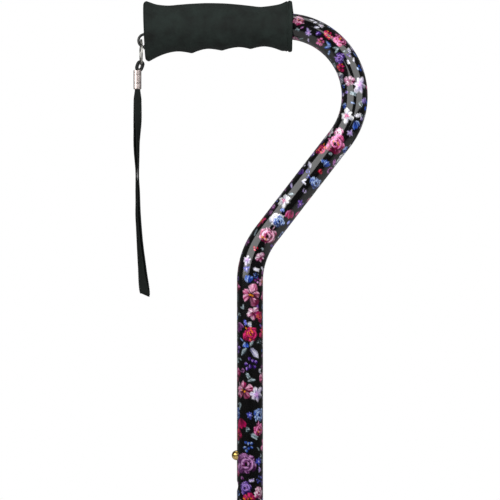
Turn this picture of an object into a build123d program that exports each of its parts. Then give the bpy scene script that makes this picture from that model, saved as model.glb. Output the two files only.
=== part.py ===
from build123d import *
from math import atan2, cos, degrees, radians, sin, sqrt, tan
import os

# Quad walking cane with an offset handle, at its shortest setting.
# The origin is on the floor, on the shaft's axis, midway between the four feet.
# +Z is up, and the handle points to -X. All sizes are in millimetres.

# ---- Driving dimensions ----

# Shaft and handle
tube_od = 22.0
tube_wall = 1.3
grip_axis_z = 740.0         # the handle's axis above the floor
upper_bend_r = 58.7         # radii are to the tube's centre line
lower_bend_r = 63.2
slope_run = 102.5           # straight length between the two bends
slope_lean = 37.67          # degrees that the sloping run leans from the shaft
tube_end_x = -80.5          # the tube's end, inside the grip

# Height setting: a row of holes down one side of the upper tube
hole_pitch = 25.4
hole_count = 7
hole_d = 8.7
top_hole_below_grip = 360.9
hole_end_margin = 24.7      # from the lowest hole to the tube's end

# Inner tube
slide_gap = 0.2             # radial clearance between the two tubes
lower_wall = 1.25
lower_above_button = 25.0   # how far the inner tube goes on above the button

# Snap button and its leaf spring
button_gap = 0.2            # radial clearance in the holes
button_proud = 4.4          # how far the dome stands out of the upper tube
button_sink = 0.1           # how far inside the upper tube's bore a full press takes it
button_flange = 1.3         # how much wider the flange is than the barrel
spring_width = 7.0
spring_thick = 0.7
spring_length = 56.0

# Hand grip: x along the handle, then height above and below its axis, and half width
grip_stations = [
    (-88.2, 20.6, 27.6, 20.6),
    (-85.0, 20.6, 28.4, 20.8),
    (-77.5, 18.3, 25.2, 19.0),
    (-69.0, 17.4, 21.9, 17.7),
    (-60.5, 18.1, 20.5, 17.3),
    (-50.5, 18.9, 22.0, 17.6),
    (-35.5, 19.5, 18.2, 16.9),
    (-25.0, 19.4, 19.6, 17.0),
    (-10.0, 18.3, 16.8, 16.4),
    (0.5, 17.2, 18.4, 16.6),
    (11.5, 16.4, 16.2, 16.0),
    (20.0, 17.5, 17.8, 16.8),
    (27.0, 19.2, 19.9, 18.3),
    (32.5, 21.2, 20.9, 19.9),
    (35.5, 21.5, 21.1, 20.2),
]
grip_end_slant = 2.6        # degrees that the closed end leans back at the bottom
grip_edge = 1.6             # rounding of the closed end's edge

# Wrist strap hardware
eyelet_x = -88.4
eyelet_below_axis = 12.1
eyelet_r = 5.4              # radius of the loop's centre line
eyelet_rod_r = 1.1
ring_r = 10.2               # radius of the split ring's centre line
ring_wire_r = 0.85
ring_out = 3.2              # where its wire hangs in the eyelet: out from the eyelet's centre
ring_up = 0.5               # and up from it
ring_turn = 7.0             # degrees that the ring is turned about the vertical
eye_r = 2.45                # half width of the cord eye's centre line
eye_cord_r = 1.2
eye_drop = 0.2              # the eye's upper centre, below the ring's wire
eye_length = 2.6            # straight part of the eye
eye_lean = 20.0
ferrule_width = 6.65
ferrule_depth = 4.6
ferrule_length = 16.0
ferrule_out = 3.1           # from the ring's lowest wire out to the ferrule's middle
ferrule_sunk_eye = 1.4      # how far the eye goes down into the ferrule

# Woven wrist strap: the route of the doubled tape, down from the ferrule and across it
strap_width = 6.5
strap_thick = 1.3
strap_swing_in = 6.1        # how far the strap's fold hangs inward of the ferrule
strap_points = [
    (0, -0.9), (26, -2.1), (70, -3.0), (112, -2.8), (140, -2.4), (155, -2.2), (164, -2.5),
    (171.5, -2.7), (172.3, 2.6), (165, 2.9), (154, 2.5), (136, 2.2), (104, 2.6), (62, 3.1),
    (24, 2.2), (0, 0.9),
]

# Locking collar at the upper tube's lower end
sleeve_wall = 2.9
sleeve_height = 28.0
sleeve_flange = 1.6
sleeve_flange_height = 5.0
sleeve_over_tube = 16.0     # length of the tube inside the sleeve
thread_gap = 0.2
nut_wall = 2.4
nut_height = 27.5
nut_floor = 2.0
nut_lift_gap = 1.0          # gap between the closed nut and the sleeve's flange
nut_rib_count = 24
nut_rib_depth = 0.7
collet_height = 8.0
collet_gap = 0.15           # between the collet's cone and its seat
collet_slot = 1.6
collet_bore_gap = 0.1
bore_gap = 0.35             # radial clearance of the sleeve and nut on the inner tube

# Base
leg_od = 15.9
leg_wall = 1.6
base_length = 203.0         # over the tips, front to back
base_width = 153.0
hub_axis_z = 84.0           # height of the leg tubes through the hub
leg_knee_z = 52.0           # height where each leg turns from its foot to the hub
leg_straight = 30.0         # half length of each leg tube's straight middle
leg_bend_r = 24.0
hub_length = 56.0
hub_height = 25.0
hub_bore_wall = 5.5         # metal between the shaft's bore and each saddle
hub_floor = 4.0
hub_saddle_gap = 1.0        # the block stops this far short of the legs' centre lines
hub_edge = 3.0
collar_wall = 6.0
collar_height = 46.0
collar_taper = 2.0
bolt_d = 6.0
bolt_gap = 0.25
bolt_spread = 17.0          # from the shaft's axis to each leg bolt
bolt_head_d = 11.5
bolt_head_height = 3.4
washer_d = 13.0
washer_thick = 1.6
nut_af = 10.0
leg_nut_height = 6.0
nut_overhang = 1.5          # bolt end past its nut
shaft_bolt_d = 5.0
shaft_bolt_above_hub = 22.0
shaft_head_d = 9.0
shaft_head_height = 2.8
shaft_nut_af = 8.0
shaft_nut_height = 4.4
spot_depth = 2.2            # how deep the collar is spot-faced for the bolt's head and nut
spot_gap = 0.6
tip_height = 34.0
tip_wall = 2.95             # rubber round the leg, at the tip's neck
tip_flare = 2.3             # how much wider the sole is than the neck
tip_floor = 9.0
tip_disc_thick = 1.5
tip_groove = 1.2

# ---- Derived sizes ----
tube_r = tube_od / 2
tube_bore_r = tube_r - tube_wall
lower_r = tube_bore_r - slide_gap
lower_bore_r = lower_r - lower_wall
top_hole_z = grip_axis_z - top_hole_below_grip
upper_end_z = top_hole_z - (hole_count - 1) * hole_pitch - hole_end_margin
button_r = hole_d / 2 - button_gap
lean = radians(slope_lean)
bend_x = slope_run * sin(lean) + lower_bend_r * (1 - cos(lean)) - upper_bend_r * cos(lean)
leg_r = leg_od / 2
tip_neck_r = leg_r + tip_wall
tip_sole_r = tip_neck_r + tip_flare
hub_bore_r = lower_r
leg_y = hub_bore_r + hub_bore_wall + leg_r
foot_x = base_length / 2 - tip_sole_r
foot_y = base_width / 2 - tip_sole_r
hub_bottom = hub_axis_z - hub_height / 2
hub_top = hub_axis_z + hub_height / 2
shaft_bolt_z = hub_top + shaft_bolt_above_hub
lower_bottom_z = hub_bottom + hub_floor
lower_top_z = top_hole_z + lower_above_button
sleeve_bottom = upper_end_z + sleeve_over_tube - sleeve_height
sleeve_r = tube_r + sleeve_wall
nut_top = sleeve_bottom + sleeve_height - sleeve_flange_height - nut_lift_gap
nut_bottom = nut_top - nut_height
collet_bottom = nut_bottom + nut_floor
eyelet_z = grip_axis_z - eyelet_below_axis
ring_x = eyelet_x - ring_out
ring_centre_z = eyelet_z + ring_up - ring_r
ring_low_z = ring_centre_z - ring_r
ferrule_x = ring_x - ferrule_out
strap_bottom_x = ferrule_x + strap_swing_in

nodes = {}


# ---- Shared shapes ----

def rod(radius, low, high, x=0.0, y=0.0):
    """An upright cylinder between two heights."""
    return Pos(x, y, (low + high) / 2) * Cylinder(radius, high - low)


def pipe(outer, inner, low, high, x=0.0, y=0.0):
    """An upright tube between two heights."""
    return rod(outer, low, high, x, y) - rod(inner, low - 1, high + 1, x, y)


def along_y(radius, start, end, x, z):
    """A cylinder along Y between two places."""
    return Pos(x, (start + end) / 2, z) * Rot(90, 0, 0) * Cylinder(radius, end - start)


def along_x(radius, start, end, y, z):
    """A cylinder along X between two places."""
    return Pos((start + end) / 2, y, z) * Rot(0, 90, 0) * Cylinder(radius, end - start)


def hexagon(across_flats, height):
    """An upright hexagonal prism on the XY plane."""
    return extrude(RegularPolygon(across_flats / 2, 6, major_radius=False), height)


# ---- Upper shaft ----

def shaft_path():
    """The bent tube's centre line, from the end in the grip down to its lower end."""
    level = Line((tube_end_x, grip_axis_z), (bend_x, grip_axis_z))
    first = JernArc(level @ 1, level % 1, upper_bend_r, -(90 + slope_lean))
    slope = Line(first @ 1, (first @ 1) + (first % 1) * slope_run)
    second = JernArc(slope @ 1, slope % 1, lower_bend_r, slope_lean)
    shaft = Line(second @ 1, (0, upper_end_z))
    return Plane.XZ * Wire([level.edge(), first.edge(), slope.edge(), second.edge(), shaft.edge()])


def swept(path, section):
    """A section swept along a path, square to its start."""
    return sweep(Plane(path @ 0, z_dir=path % 0) * section, path)


def upper_tube():
    tube = swept(shaft_path(), Circle(tube_r) - Circle(tube_bore_r))
    for step in range(hole_count):
        tube -= along_x(hole_d / 2, -tube_r - 2, 0, 0, top_hole_z - step * hole_pitch)
    return tube


def strap_eyelet():
    """The loop that the strap's ring hangs in: half of it is held in the grip's end wall."""
    return Pos(eyelet_x, 0, eyelet_z) * Rot(90, 0, 0) * Torus(eyelet_r, eyelet_rod_r)


def hand_grip():
    sections = []
    for x, above, below, half_width in grip_stations:
        middle = grip_axis_z + (above - below) / 2
        plane = Plane((x, 0, middle), x_dir=(0, 1, 0), z_dir=(1, 0, 0))
        if x == grip_stations[0][0]:
            plane = plane.rotated((0, grip_end_slant, 0))
        sections.append(plane * Ellipse(half_width, (above + below) / 2))
    grip = loft(sections)
    end_face = grip.faces().sort_by(Axis.X)[0]
    grip = fillet(end_face.edges(), grip_edge)
    grip -= swept(shaft_path(), Circle(tube_r))
    return grip - strap_eyelet()


def lock_sleeve():
    """Threaded sleeve on the tube's end, with the collet's tapered seat in its lower end."""
    top = sleeve_bottom + sleeve_height
    sleeve = rod(sleeve_r, sleeve_bottom, top)
    sleeve += rod(sleeve_r + sleeve_flange, top - sleeve_flange_height, top)
    sleeve -= rod(tube_r, upper_end_z, top + 1)
    sleeve -= rod(lower_r + bore_gap, sleeve_bottom - 1, upper_end_z + 1)
    return sleeve - collet_cone(collet_gap)


def collet_cone(extra):
    """The tapered outside of the collet, grown by a gap to make its seat."""
    wide = sleeve_r - 1.4
    narrow = lower_r + 1.0
    taper = Cone(wide + extra, narrow + extra, collet_height)
    return Pos(0, 0, collet_bottom + collet_height / 2 + extra) * taper


def lock_collet():
    """Tapered nylon ring, slit on one side so that it can close on the inner tube."""
    low = collet_bottom
    ring = collet_cone(0) - rod(lower_r + collet_bore_gap, low - 1, low + collet_height + 1)
    slot = Pos(sleeve_r / 2, 0, low + collet_height / 2) * Box(sleeve_r, collet_slot, collet_height + 2)
    return ring - slot


def lock_nut():
    """Ribbed locking collar, threaded on the sleeve and open round the inner tube."""
    outer = sleeve_r + thread_gap + nut_wall
    nut = rod(outer, nut_bottom, nut_top)
    rib = Pos(outer, 0, (nut_bottom + nut_top) / 2) * Cylinder(nut_rib_depth, nut_height - 6)
    for step in range(nut_rib_count):
        nut -= Rot(0, 0, step * 360 / nut_rib_count) * rib
    nut -= rod(sleeve_r + thread_gap, collet_bottom, nut_top + 1)
    return nut - rod(lower_r + bore_gap, nut_bottom - 1, nut_top)


# ---- Wrist strap ----

def split_ring():
    place = Pos(ring_x, 0, ring_centre_z) * Rot(0, 0, ring_turn) * Rot(0, 90, 0)
    return place * Torus(ring_r, ring_wire_r)


def eye_place():
    """The cord eye's own frame: the origin is on the ring's lowest wire, and it leans."""
    return Pos(ring_x, 0, ring_low_z) * Rot(0, eye_lean, 0)


def cord_eye_loop():
    top = -eye_drop
    low = top - eye_length
    over = CenterArc((0, top), eye_r, 0, 180)
    left = Line(over @ 1, (-eye_r, low))
    under = CenterArc((0, low), eye_r, 180, 180)
    right = Line(under @ 1, over @ 0)
    path = Plane.XZ * Wire([over.edge(), left.edge(), under.edge(), right.edge()])
    return eye_place() * swept(path, Circle(eye_cord_r))


def ferrule_top():
    """Height of the ferrule's upper end, which the eye's lower end is sunk in."""
    lean_angle = radians(eye_lean)
    eye_bottom = eye_drop + eye_length + (eye_r + eye_cord_r) / cos(lean_angle)
    return ring_low_z - eye_bottom * cos(lean_angle) + ferrule_sunk_eye


def strap_ferrule():
    top = ferrule_top()
    body = Pos(ferrule_x, 0, top - ferrule_length / 2) * extrude(
        RectangleRounded(ferrule_width, ferrule_depth, ferrule_depth / 2 - 0.4),
        ferrule_length / 2, both=True)
    return body - cord_eye_loop()


def wrist_strap():
    """The doubled tape: one flat band, folded at the bottom, with both ends in the ferrule."""
    top = ferrule_top() - ferrule_length
    drop = strap_points[len(strap_points) // 2 - 1][0]
    tilt = degrees(atan2(strap_bottom_x - ferrule_x, drop))
    points = [(across, -down) for down, across in strap_points]
    radii = []
    for before, here, after in zip(points, points[1:], points[2:]):
        inward = Vector(here) - Vector(before)
        outward = Vector(after) - Vector(here)
        turn = radians(inward.get_angle(outward))
        radii.append(0.45 * min(inward.length, outward.length) / tan(turn / 2))
    print("strap radii", [round(r, 1) for r in radii])
    route = FilletPolyline(*points, radius=radii)
    band = trace(route, strap_thick)
    plane = Plane((ferrule_x, 0, top), x_dir=(0, 1, 0), z_dir=(1, 0, 0)).rotated((0, -tilt, 0))
    strap = plane * extrude(band, strap_width / 2, both=True)
    cut = Pos(ferrule_x, 0, top + 10) * Box(40, 40, 20)
    strap -= cut
    print("strap length", route.length, "volume check", strap.volume / (strap_width * strap_thick))
    return strap


# ---- Lower shaft and snap catch ----

def lower_tube():
    tube = pipe(lower_r, lower_bore_r, lower_bottom_z, lower_top_z)
    tube -= along_x(hole_d / 2, -tube_r, 0, 0, top_hole_z)
    return tube - along_y(shaft_bolt_d / 2 + bolt_gap, -tube_r, tube_r, 0, shaft_bolt_z)


def guide_bushing():
    """Nylon bushing that centres the inner tube's top end in the upper tube."""
    spigot = pipe(lower_bore_r, lower_bore_r - 1.6, lower_top_z - 12, lower_top_z)
    rim_r = tube_bore_r - slide_gap / 2
    return spigot + pipe(rim_r, lower_bore_r - 1.6, lower_top_z, lower_top_z + 4)


def flange_x():
    """Where the button's flange meets the inner tube's wall: its outer face."""
    reach = button_r + button_flange / 2
    return -sqrt((lower_bore_r - 0.1) ** 2 - reach ** 2)


def snap_button():
    """Domed button with a flange that holds it inside the inner tube."""
    tip = -tube_r - button_proud
    barrel = along_x(button_r, tip + button_r, flange_x(), 0, top_hole_z)
    dome = Pos(tip + button_r, 0, top_hole_z) * Sphere(button_r)
    dome -= Pos(0, 0, top_hole_z) * Box(2 * (-tip - button_r), 40, 40)
    flange = along_x(button_r + button_flange / 2, flange_x(), flange_x() + 0.8, 0, top_hole_z)
    return barrel + dome + flange


def snap_spring():
    """V-shaped leaf spring: one leg lies on the tube's far wall, and one carries the button."""
    half = spring_width / 2
    fixed_x = sqrt((lower_bore_r - 0.1) ** 2 - half ** 2) - spring_thick / 2
    free_x = flange_x() + 0.8 + 0.05 + spring_thick / 2
    top = top_hole_z + 9
    foot = top_hole_z - spring_length + 9
    points = [(fixed_x, top), (fixed_x, foot), (fixed_x - 8, foot), (free_x, top_hole_z - 7), (free_x, top)]
    route = FilletPolyline(*points, radius=[3.0, 3.0, 12.0])
    return Plane.XZ * extrude(trace(route, spring_thick), half, both=True)


# ---- Base ----

def leg_tube(side):
    """One bent tube of the base, from its front foot over the hub's side to its rear foot."""
    foot_z = tip_floor + tip_disc_thick
    y_in = side * leg_y
    y_out = side * foot_y
    turn_x = leg_straight + leg_bend_r * tan(leg_turn() / 2)
    points = [
        (-foot_x, y_out, foot_z), (-foot_x, y_out, leg_knee_z), (-turn_x, y_in, hub_axis_z),
        (turn_x, y_in, hub_axis_z), (foot_x, y_out, leg_knee_z), (foot_x, y_out, foot_z),
    ]
    path = FilletPolyline(*points, radius=leg_bend_r).wire()
    tube = swept(path, Circle(leg_r) - Circle(leg_r - leg_wall))
    for x in (-bolt_spread, bolt_spread):
        tube -= along_y(bolt_d / 2 + bolt_gap, y_in - leg_od, y_in + leg_od, x, hub_axis_z)
    return tube


def leg_turn():
    """The angle, in radians, that a leg turns through at the end of its straight middle."""
    turn = 0.8
    for _ in range(20):
        turn_x = leg_straight + leg_bend_r * tan(turn / 2)
        run = Vector(foot_x - turn_x, foot_y - leg_y, leg_knee_z - hub_axis_z)
        turn = radians(run.get_angle(Vector(1, 0, 0)))
    return turn


def base_hub():
    """Cast hub: a block with a saddle on each side for a leg tube, and the shaft's socket."""
    width = 2 * (leg_y - hub_saddle_gap)
    block = Pos(0, 0, hub_axis_z) * Box(hub_length, width, hub_height)
    block = fillet(block.edges().filter_by(Axis.Z) + block.edges().filter_by(Axis.Y), hub_edge)
    collar_r = hub_bore_r + collar_wall
    collar = Pos(0, 0, hub_top + collar_height / 2) * Cone(collar_r, collar_r - collar_taper, collar_height)
    hub = block + collar
    hub -= rod(hub_bore_r, lower_bottom_z, hub_top + collar_height + 1)
    for side in (-1, 1):
        hub -= along_x(leg_r, -hub_length, hub_length, side * leg_y, hub_axis_z)
    for x in (-bolt_spread, bolt_spread):
        hub -= along_y(bolt_d / 2 + bolt_gap, -width, width, x, hub_axis_z)
    spot_r = max(shaft_head_d, shaft_nut_af * 1.16) / 2 + spot_gap
    for start, end in ((-width, -shaft_seat()), (shaft_seat(), width)):
        hub -= along_y(spot_r, start, end, 0, shaft_bolt_z)
    return hub - along_y(shaft_bolt_d / 2 + bolt_gap, -width, width, 0, shaft_bolt_z)


def washer_seat():
    """How far from the shaft's axis the saddle washers' outer faces are."""
    return leg_y + leg_r + washer_thick


def saddle_washers():
    washers = []
    for x in (-bolt_spread, bolt_spread):
        for side in (-1, 1):
            inner = side * (leg_y + leg_r - 3)
            outer = side * washer_seat()
            disc = along_y(washer_d / 2, min(inner, outer), max(inner, outer), x, hub_axis_z)
            disc -= along_x(leg_r, x - washer_d, x + washer_d, side * leg_y, hub_axis_z)
            disc -= along_y(bolt_d / 2 + bolt_gap, min(inner, outer) - 1, max(inner, outer) + 1, x, hub_axis_z)
            washers.append(disc)
    return washers


def bolt(diameter, head_d, head_height, start, end, x, z):
    """A button-head bolt along Y, with a hexagon socket in its head on the -Y side."""
    shank = along_y(diameter / 2, start, end, x, z)
    dome_r = (head_d ** 2 / 4 + head_height ** 2) / (2 * head_height)
    head = Pos(x, start - head_height + dome_r, z) * Sphere(dome_r)
    keep = along_y(head_d / 2, start - head_height, start, x, z)
    socket = Pos(x, start, z) * Rot(90, 0, 0) * hexagon(diameter * 0.62, head_height + 1)
    return shank + (head & keep) - Pos(0, -0.45 * head_height, 0) * socket


def lock_nut_on_bolt(across_flats, height, bore_r, start, x, z):
    """A hexagonal lock nut along Y with its round collar on the +Y side."""
    body = hexagon(across_flats, height * 0.68)
    collar = rod(across_flats / 2 * 0.92, height * 0.68, height)
    return Pos(x, start, z) * Rot(-90, 0, 0) * (body + collar - rod(bore_r, -1, height + 1))


def leg_bolts():
    end = washer_seat() + leg_nut_height + nut_overhang
    return [bolt(bolt_d, bolt_head_d, bolt_head_height, -washer_seat(), end, x, hub_axis_z)
            for x in (-bolt_spread, bolt_spread)]


def leg_nuts():
    return [lock_nut_on_bolt(nut_af, leg_nut_height, bolt_d / 2, washer_seat(), x, hub_axis_z)
            for x in (-bolt_spread, bolt_spread)]


def shaft_seat():
    """How far from the shaft's axis the shaft bolt's head and nut sit, on the collar's spot faces."""
    return hub_bore_r + collar_wall - spot_depth


def shaft_bolt():
    end = shaft_seat() + shaft_nut_height + nut_overhang
    return bolt(shaft_bolt_d, shaft_head_d, shaft_head_height, -shaft_seat(), end, 0, shaft_bolt_z)


def shaft_nut():
    return lock_nut_on_bolt(shaft_nut_af, shaft_nut_height, shaft_bolt_d / 2, shaft_seat(), 0, shaft_bolt_z)


def rubber_tip(x, y):
    """A flared rubber tip with two rings round it and a ring of tread under it."""
    neck = tip_neck_r
    outline = Polyline(
        (0, 0), (tip_sole_r, 0), (tip_sole_r, 5.5), (neck + 0.6, 12), (neck + 0.6, 14),
        (neck - 0.4, 15), (neck - 0.4, 17), (neck + 0.3, 18), (neck + 0.3, 20), (neck - 0.7, 21),
        (neck - 0.7, 23), (neck, 24), (neck - 0.3, tip_height), (0, tip_height), (0, 0))
    tip = revolve(Plane.XZ * make_face(outline), Axis.Z)
    tip -= rod(leg_r, tip_floor, tip_height + 1)
    for inner in (5.0, 9.0):
        tip -= pipe(inner + 1.6, inner, -1, tip_groove)
    return Pos(x, y, 0) * tip


def feet():
    return {"front_left": (-foot_x, -foot_y), "front_right": (-foot_x, foot_y),
            "rear_left": (foot_x, -foot_y), "rear_right": (foot_x, foot_y)}


def tip_washers():
    return [rod(leg_r - 0.1, tip_floor, tip_floor + tip_disc_thick, x, y) for x, y in feet().values()]


# ---- Everything, by name ----

print("height travel", (hole_count - 1) * hole_pitch)
print("button travel", tube_r + button_proud - tube_bore_r + button_sink)
print("foot", foot_x, foot_y, "ring", ring_x, eyelet_z + ring_up, ring_low_z)

nodes["upper_tube"] = upper_tube()
nodes["hand_grip"] = hand_grip()
nodes["strap_eyelet"] = strap_eyelet()
nodes["lock_sleeve"] = lock_sleeve()
nodes["lock_collet"] = lock_collet()
nodes["lock_nut"] = lock_nut()
nodes["split_ring"] = split_ring()
nodes["strap_cord_eye"] = cord_eye_loop()
nodes["strap_ferrule"] = strap_ferrule()
nodes["wrist_strap"] = wrist_strap()
nodes["lower_tube"] = lower_tube()
nodes["guide_bushing"] = guide_bushing()
nodes["snap_spring"] = snap_spring()
nodes["snap_button"] = snap_button()
nodes["base_hub"] = base_hub()
nodes["leg_tube_left"] = leg_tube(-1)
nodes["leg_tube_right"] = leg_tube(1)
nodes["leg_bolts"] = leg_bolts()
nodes["saddle_washers"] = saddle_washers()
nodes["leg_nuts"] = leg_nuts()
nodes["shaft_bolt"] = shaft_bolt()
nodes["shaft_nut"] = shaft_nut()
for name, (x, y) in feet().items():
    nodes["tip_" + name] = rubber_tip(x, y)
nodes["tip_washers"] = tip_washers()

os.makedirs("parts", exist_ok=True)
for name, shape in nodes.items():
    if isinstance(shape, list):
        shape = Compound(children=shape)
    export_step(shape, f"parts/{name}.step")
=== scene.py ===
from math import cos, hypot, pi, radians, sin, sqrt, tau

import bmesh
import bpy
import numpy as np
from bpy.props import FloatProperty, FloatVectorProperty, IntProperty, PointerProperty
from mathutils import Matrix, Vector


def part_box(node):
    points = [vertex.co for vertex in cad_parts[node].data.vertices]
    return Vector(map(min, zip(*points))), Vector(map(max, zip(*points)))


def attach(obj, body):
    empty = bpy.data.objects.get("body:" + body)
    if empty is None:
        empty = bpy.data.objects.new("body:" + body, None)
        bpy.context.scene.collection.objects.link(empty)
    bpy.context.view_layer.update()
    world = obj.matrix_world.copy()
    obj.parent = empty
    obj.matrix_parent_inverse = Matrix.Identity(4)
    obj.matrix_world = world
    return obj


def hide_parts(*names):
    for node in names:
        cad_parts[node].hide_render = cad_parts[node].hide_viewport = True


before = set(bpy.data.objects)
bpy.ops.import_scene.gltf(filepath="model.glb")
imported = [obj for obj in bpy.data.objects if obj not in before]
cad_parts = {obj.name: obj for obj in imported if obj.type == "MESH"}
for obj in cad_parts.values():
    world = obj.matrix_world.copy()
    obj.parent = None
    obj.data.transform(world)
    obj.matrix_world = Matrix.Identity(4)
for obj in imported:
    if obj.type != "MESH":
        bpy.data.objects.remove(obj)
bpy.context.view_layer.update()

bl_info = {
    "name": "Quad Walking Cane",
    "version": (1, 0, 0),
    "blender": (4, 5, 0),
    "location": "3D View > Sidebar > Cane",
    "description": "Offset-handle walking cane with a flower print, a moulded grip, a strap and four feet",
    "category": "Add Mesh",
}

MM = 0.001


def box_mm(node):
    """The lowest and highest corner of a CAD node, in millimetres."""
    low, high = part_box(node)
    return np.array(low) / MM, np.array(high) / MM


TUBE_LOW, TUBE_HIGH = box_mm("upper_tube")
TUBE_R = (TUBE_HIGH[1] - TUBE_LOW[1]) / 2
AXIS_Z = TUBE_HIGH[2] - TUBE_R
BUTTON_Z = sum(corner[2] for corner in box_mm("snap_button")) / 2


# ---- Small tools ----

def linear(colour):
    """An sRGB hex colour as linear red, green, blue and alpha; one that is linear already stays."""
    if not isinstance(colour, str):
        return colour
    channels = [int(colour[i:i + 2], 16) / 255 for i in (1, 3, 5)]
    return [c / 12.92 if c <= 0.04045 else ((c + 0.055) / 1.055) ** 2.4 for c in channels] + [1.0]


def colour_property(name, colour, description):
    """A colour that a user can change, from its sRGB hex value."""
    return FloatVectorProperty(name=name, description=description, subtype="COLOR", size=4,
                               min=0.0, max=1.0, default=linear(colour))


def length_property(name, value_mm, description):
    """A length that a user can change, from its value in millimetres."""
    return FloatProperty(name=name, description=description, unit="LENGTH", precision=5,
                         min=0.0, default=value_mm * MM)


def add(tree, kind, inputs=None, **settings):
    """Adds one node with its settings, and sets or links each input by its name or number."""
    made = tree.nodes.new(kind)
    for name, value in settings.items():
        setattr(made, name, value)
    for name, value in (inputs or {}).items():
        if isinstance(value, bpy.types.NodeSocket):
            tree.links.new(value, made.inputs[name])
        else:
            made.inputs[name].default_value = value
    return made


def ease(value, start, end):
    """0 before start and 1 after end, smooth in between."""
    t = np.clip((value - start) / (end - start), 0.0, 1.0)
    return t * t * (3 - 2 * t)


def smooth_through(points, x):
    """A smooth curve through (place, value) points that never overshoots them, read at x."""
    places, values = np.array(points, float).T
    step = np.diff(places)
    slope = np.diff(values) / step
    tangent = np.concatenate([slope[:1], np.zeros(len(slope) - 1), slope[-1:]])
    product = slope[:-1] * slope[1:]
    rising = product > 0
    tangent[1:-1][rising] = 2 * product[rising] / (slope[:-1] + slope[1:])[rising]
    k = np.clip(np.searchsorted(places, x) - 1, 0, len(step) - 1)
    t = np.clip((x - places[k]) / step[k], 0.0, 1.0)
    return (values[k] * (1 + 2 * t) * (1 - t) ** 2 + values[k + 1] * t * t * (3 - 2 * t)
            + step[k] * (tangent[k] * t * (1 - t) ** 2 - tangent[k + 1] * t * t * (1 - t)))


def unit(vectors):
    """Vectors, each scaled to length 1."""
    return vectors / np.linalg.norm(vectors, axis=-1, keepdims=True)


def full_turn(count):
    """Even angles round a full turn."""
    return np.arange(count) * tau / count


def squarish(wave, power):
    """A sine or cosine with its curve flattened, so that a circle made from it grows corners."""
    return np.sign(wave) * np.abs(wave) ** power


def skin(rows, columns):
    """Faces between successive rings of points, each ring closed on itself."""
    i, j = np.meshgrid(np.arange(rows - 1), np.arange(columns), indexing="ij")
    a = i * columns + j
    b = i * columns + (j + 1) % columns
    return np.stack([a, b, b + columns, a + columns], axis=-1).reshape(-1, 4).tolist()


def through_rings(rings, closed=False):
    """Points and faces of a tube through rings; an open one gets a flat face at each end."""
    rings = np.asarray(rings, float)
    rows, columns = rings.shape[:2]
    faces = skin(rows, columns)
    last = (rows - 1) * columns
    if closed:
        faces += [[last + j, last + (j + 1) % columns, (j + 1) % columns, j] for j in range(columns)]
    else:
        faces += [list(range(columns)), list(range(last, last + columns))]
    return rings.reshape(-1, 3), faces


def swept(centres, first, first_way, second, second_way, closed=False):
    """Points and faces of a section carried along a line: two offsets, and the way that each one points."""
    rings = (centres[:, None] + first[..., None] * first_way[:, None]
             + second[..., None] * second_way[:, None])
    return through_rings(rings, closed)


def turned(profile, columns, x=0.0, y=0.0):
    """Rings of a shape turned about an upright axis, from (radius, height) points."""
    angle = full_turn(columns)
    r, z = np.array(profile, float).T
    return np.stack([x + r[:, None] * np.cos(angle), y + r[:, None] * np.sin(angle),
                     np.repeat(z[:, None], columns, 1)], axis=-1)


def joined(*parts):
    """Several (points, faces) in one."""
    points, faces = [], []
    for part_points, part_faces in parts:
        start = sum(len(p) for p in points)
        points.append(np.asarray(part_points))
        faces += [[start + i for i in face] for face in part_faces]
    return np.concatenate(points), faces


def make_piece(name, points, faces, materials, sharp=35.0, shade=None):
    """An object at the origin from points in millimetres, smooth but for its sharp edges."""
    mesh = bpy.data.meshes.new(name)
    mesh.from_pydata((np.asarray(points) * MM).tolist(), [], faces)
    for material in materials:
        mesh.materials.append(material)
    if shade is not None:
        mesh.polygons.foreach_set("material_index", np.asarray(shade, np.int32))
    finish_mesh(mesh, sharp)
    piece = bpy.data.objects.new(name, mesh)
    bpy.context.scene.collection.objects.link(piece)
    return piece


def finish_mesh(mesh, sharp=35.0):
    """Turns every face outwards and shades the mesh smooth up to an angle in degrees."""
    work = bmesh.new()
    work.from_mesh(mesh)
    bmesh.ops.recalc_face_normals(work, faces=work.faces)
    work.to_mesh(mesh)
    work.free()
    mesh.polygons.foreach_set("use_smooth", np.ones(len(mesh.polygons), bool))
    mesh.set_sharp_from_angle(angle=radians(sharp))
    mesh.update()


def place_piece(piece, body, slot, *nodes):
    """Puts a finished piece on its body and in place of its CAD nodes; its slot argument is not used."""
    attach(piece, body)
    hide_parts(*nodes)
    return piece


def finish_nodes(material, *nodes):
    """Gives CAD nodes that stay their material."""
    for node in nodes:
        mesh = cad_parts[node].data
        mesh.materials.clear()
        mesh.materials.append(material)


# ---- Materials ----

def new_material(name, sockets):
    """A material with its shader's own sockets set; an underscore in a name stands for a space."""
    material = bpy.data.materials.new(name)
    material.use_nodes = True
    shader = material.node_tree.nodes["Principled BSDF"]
    for socket, value in sockets.items():
        shader.inputs[socket.replace("_", " ")].default_value = value
    return material, material.node_tree, shader


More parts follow.
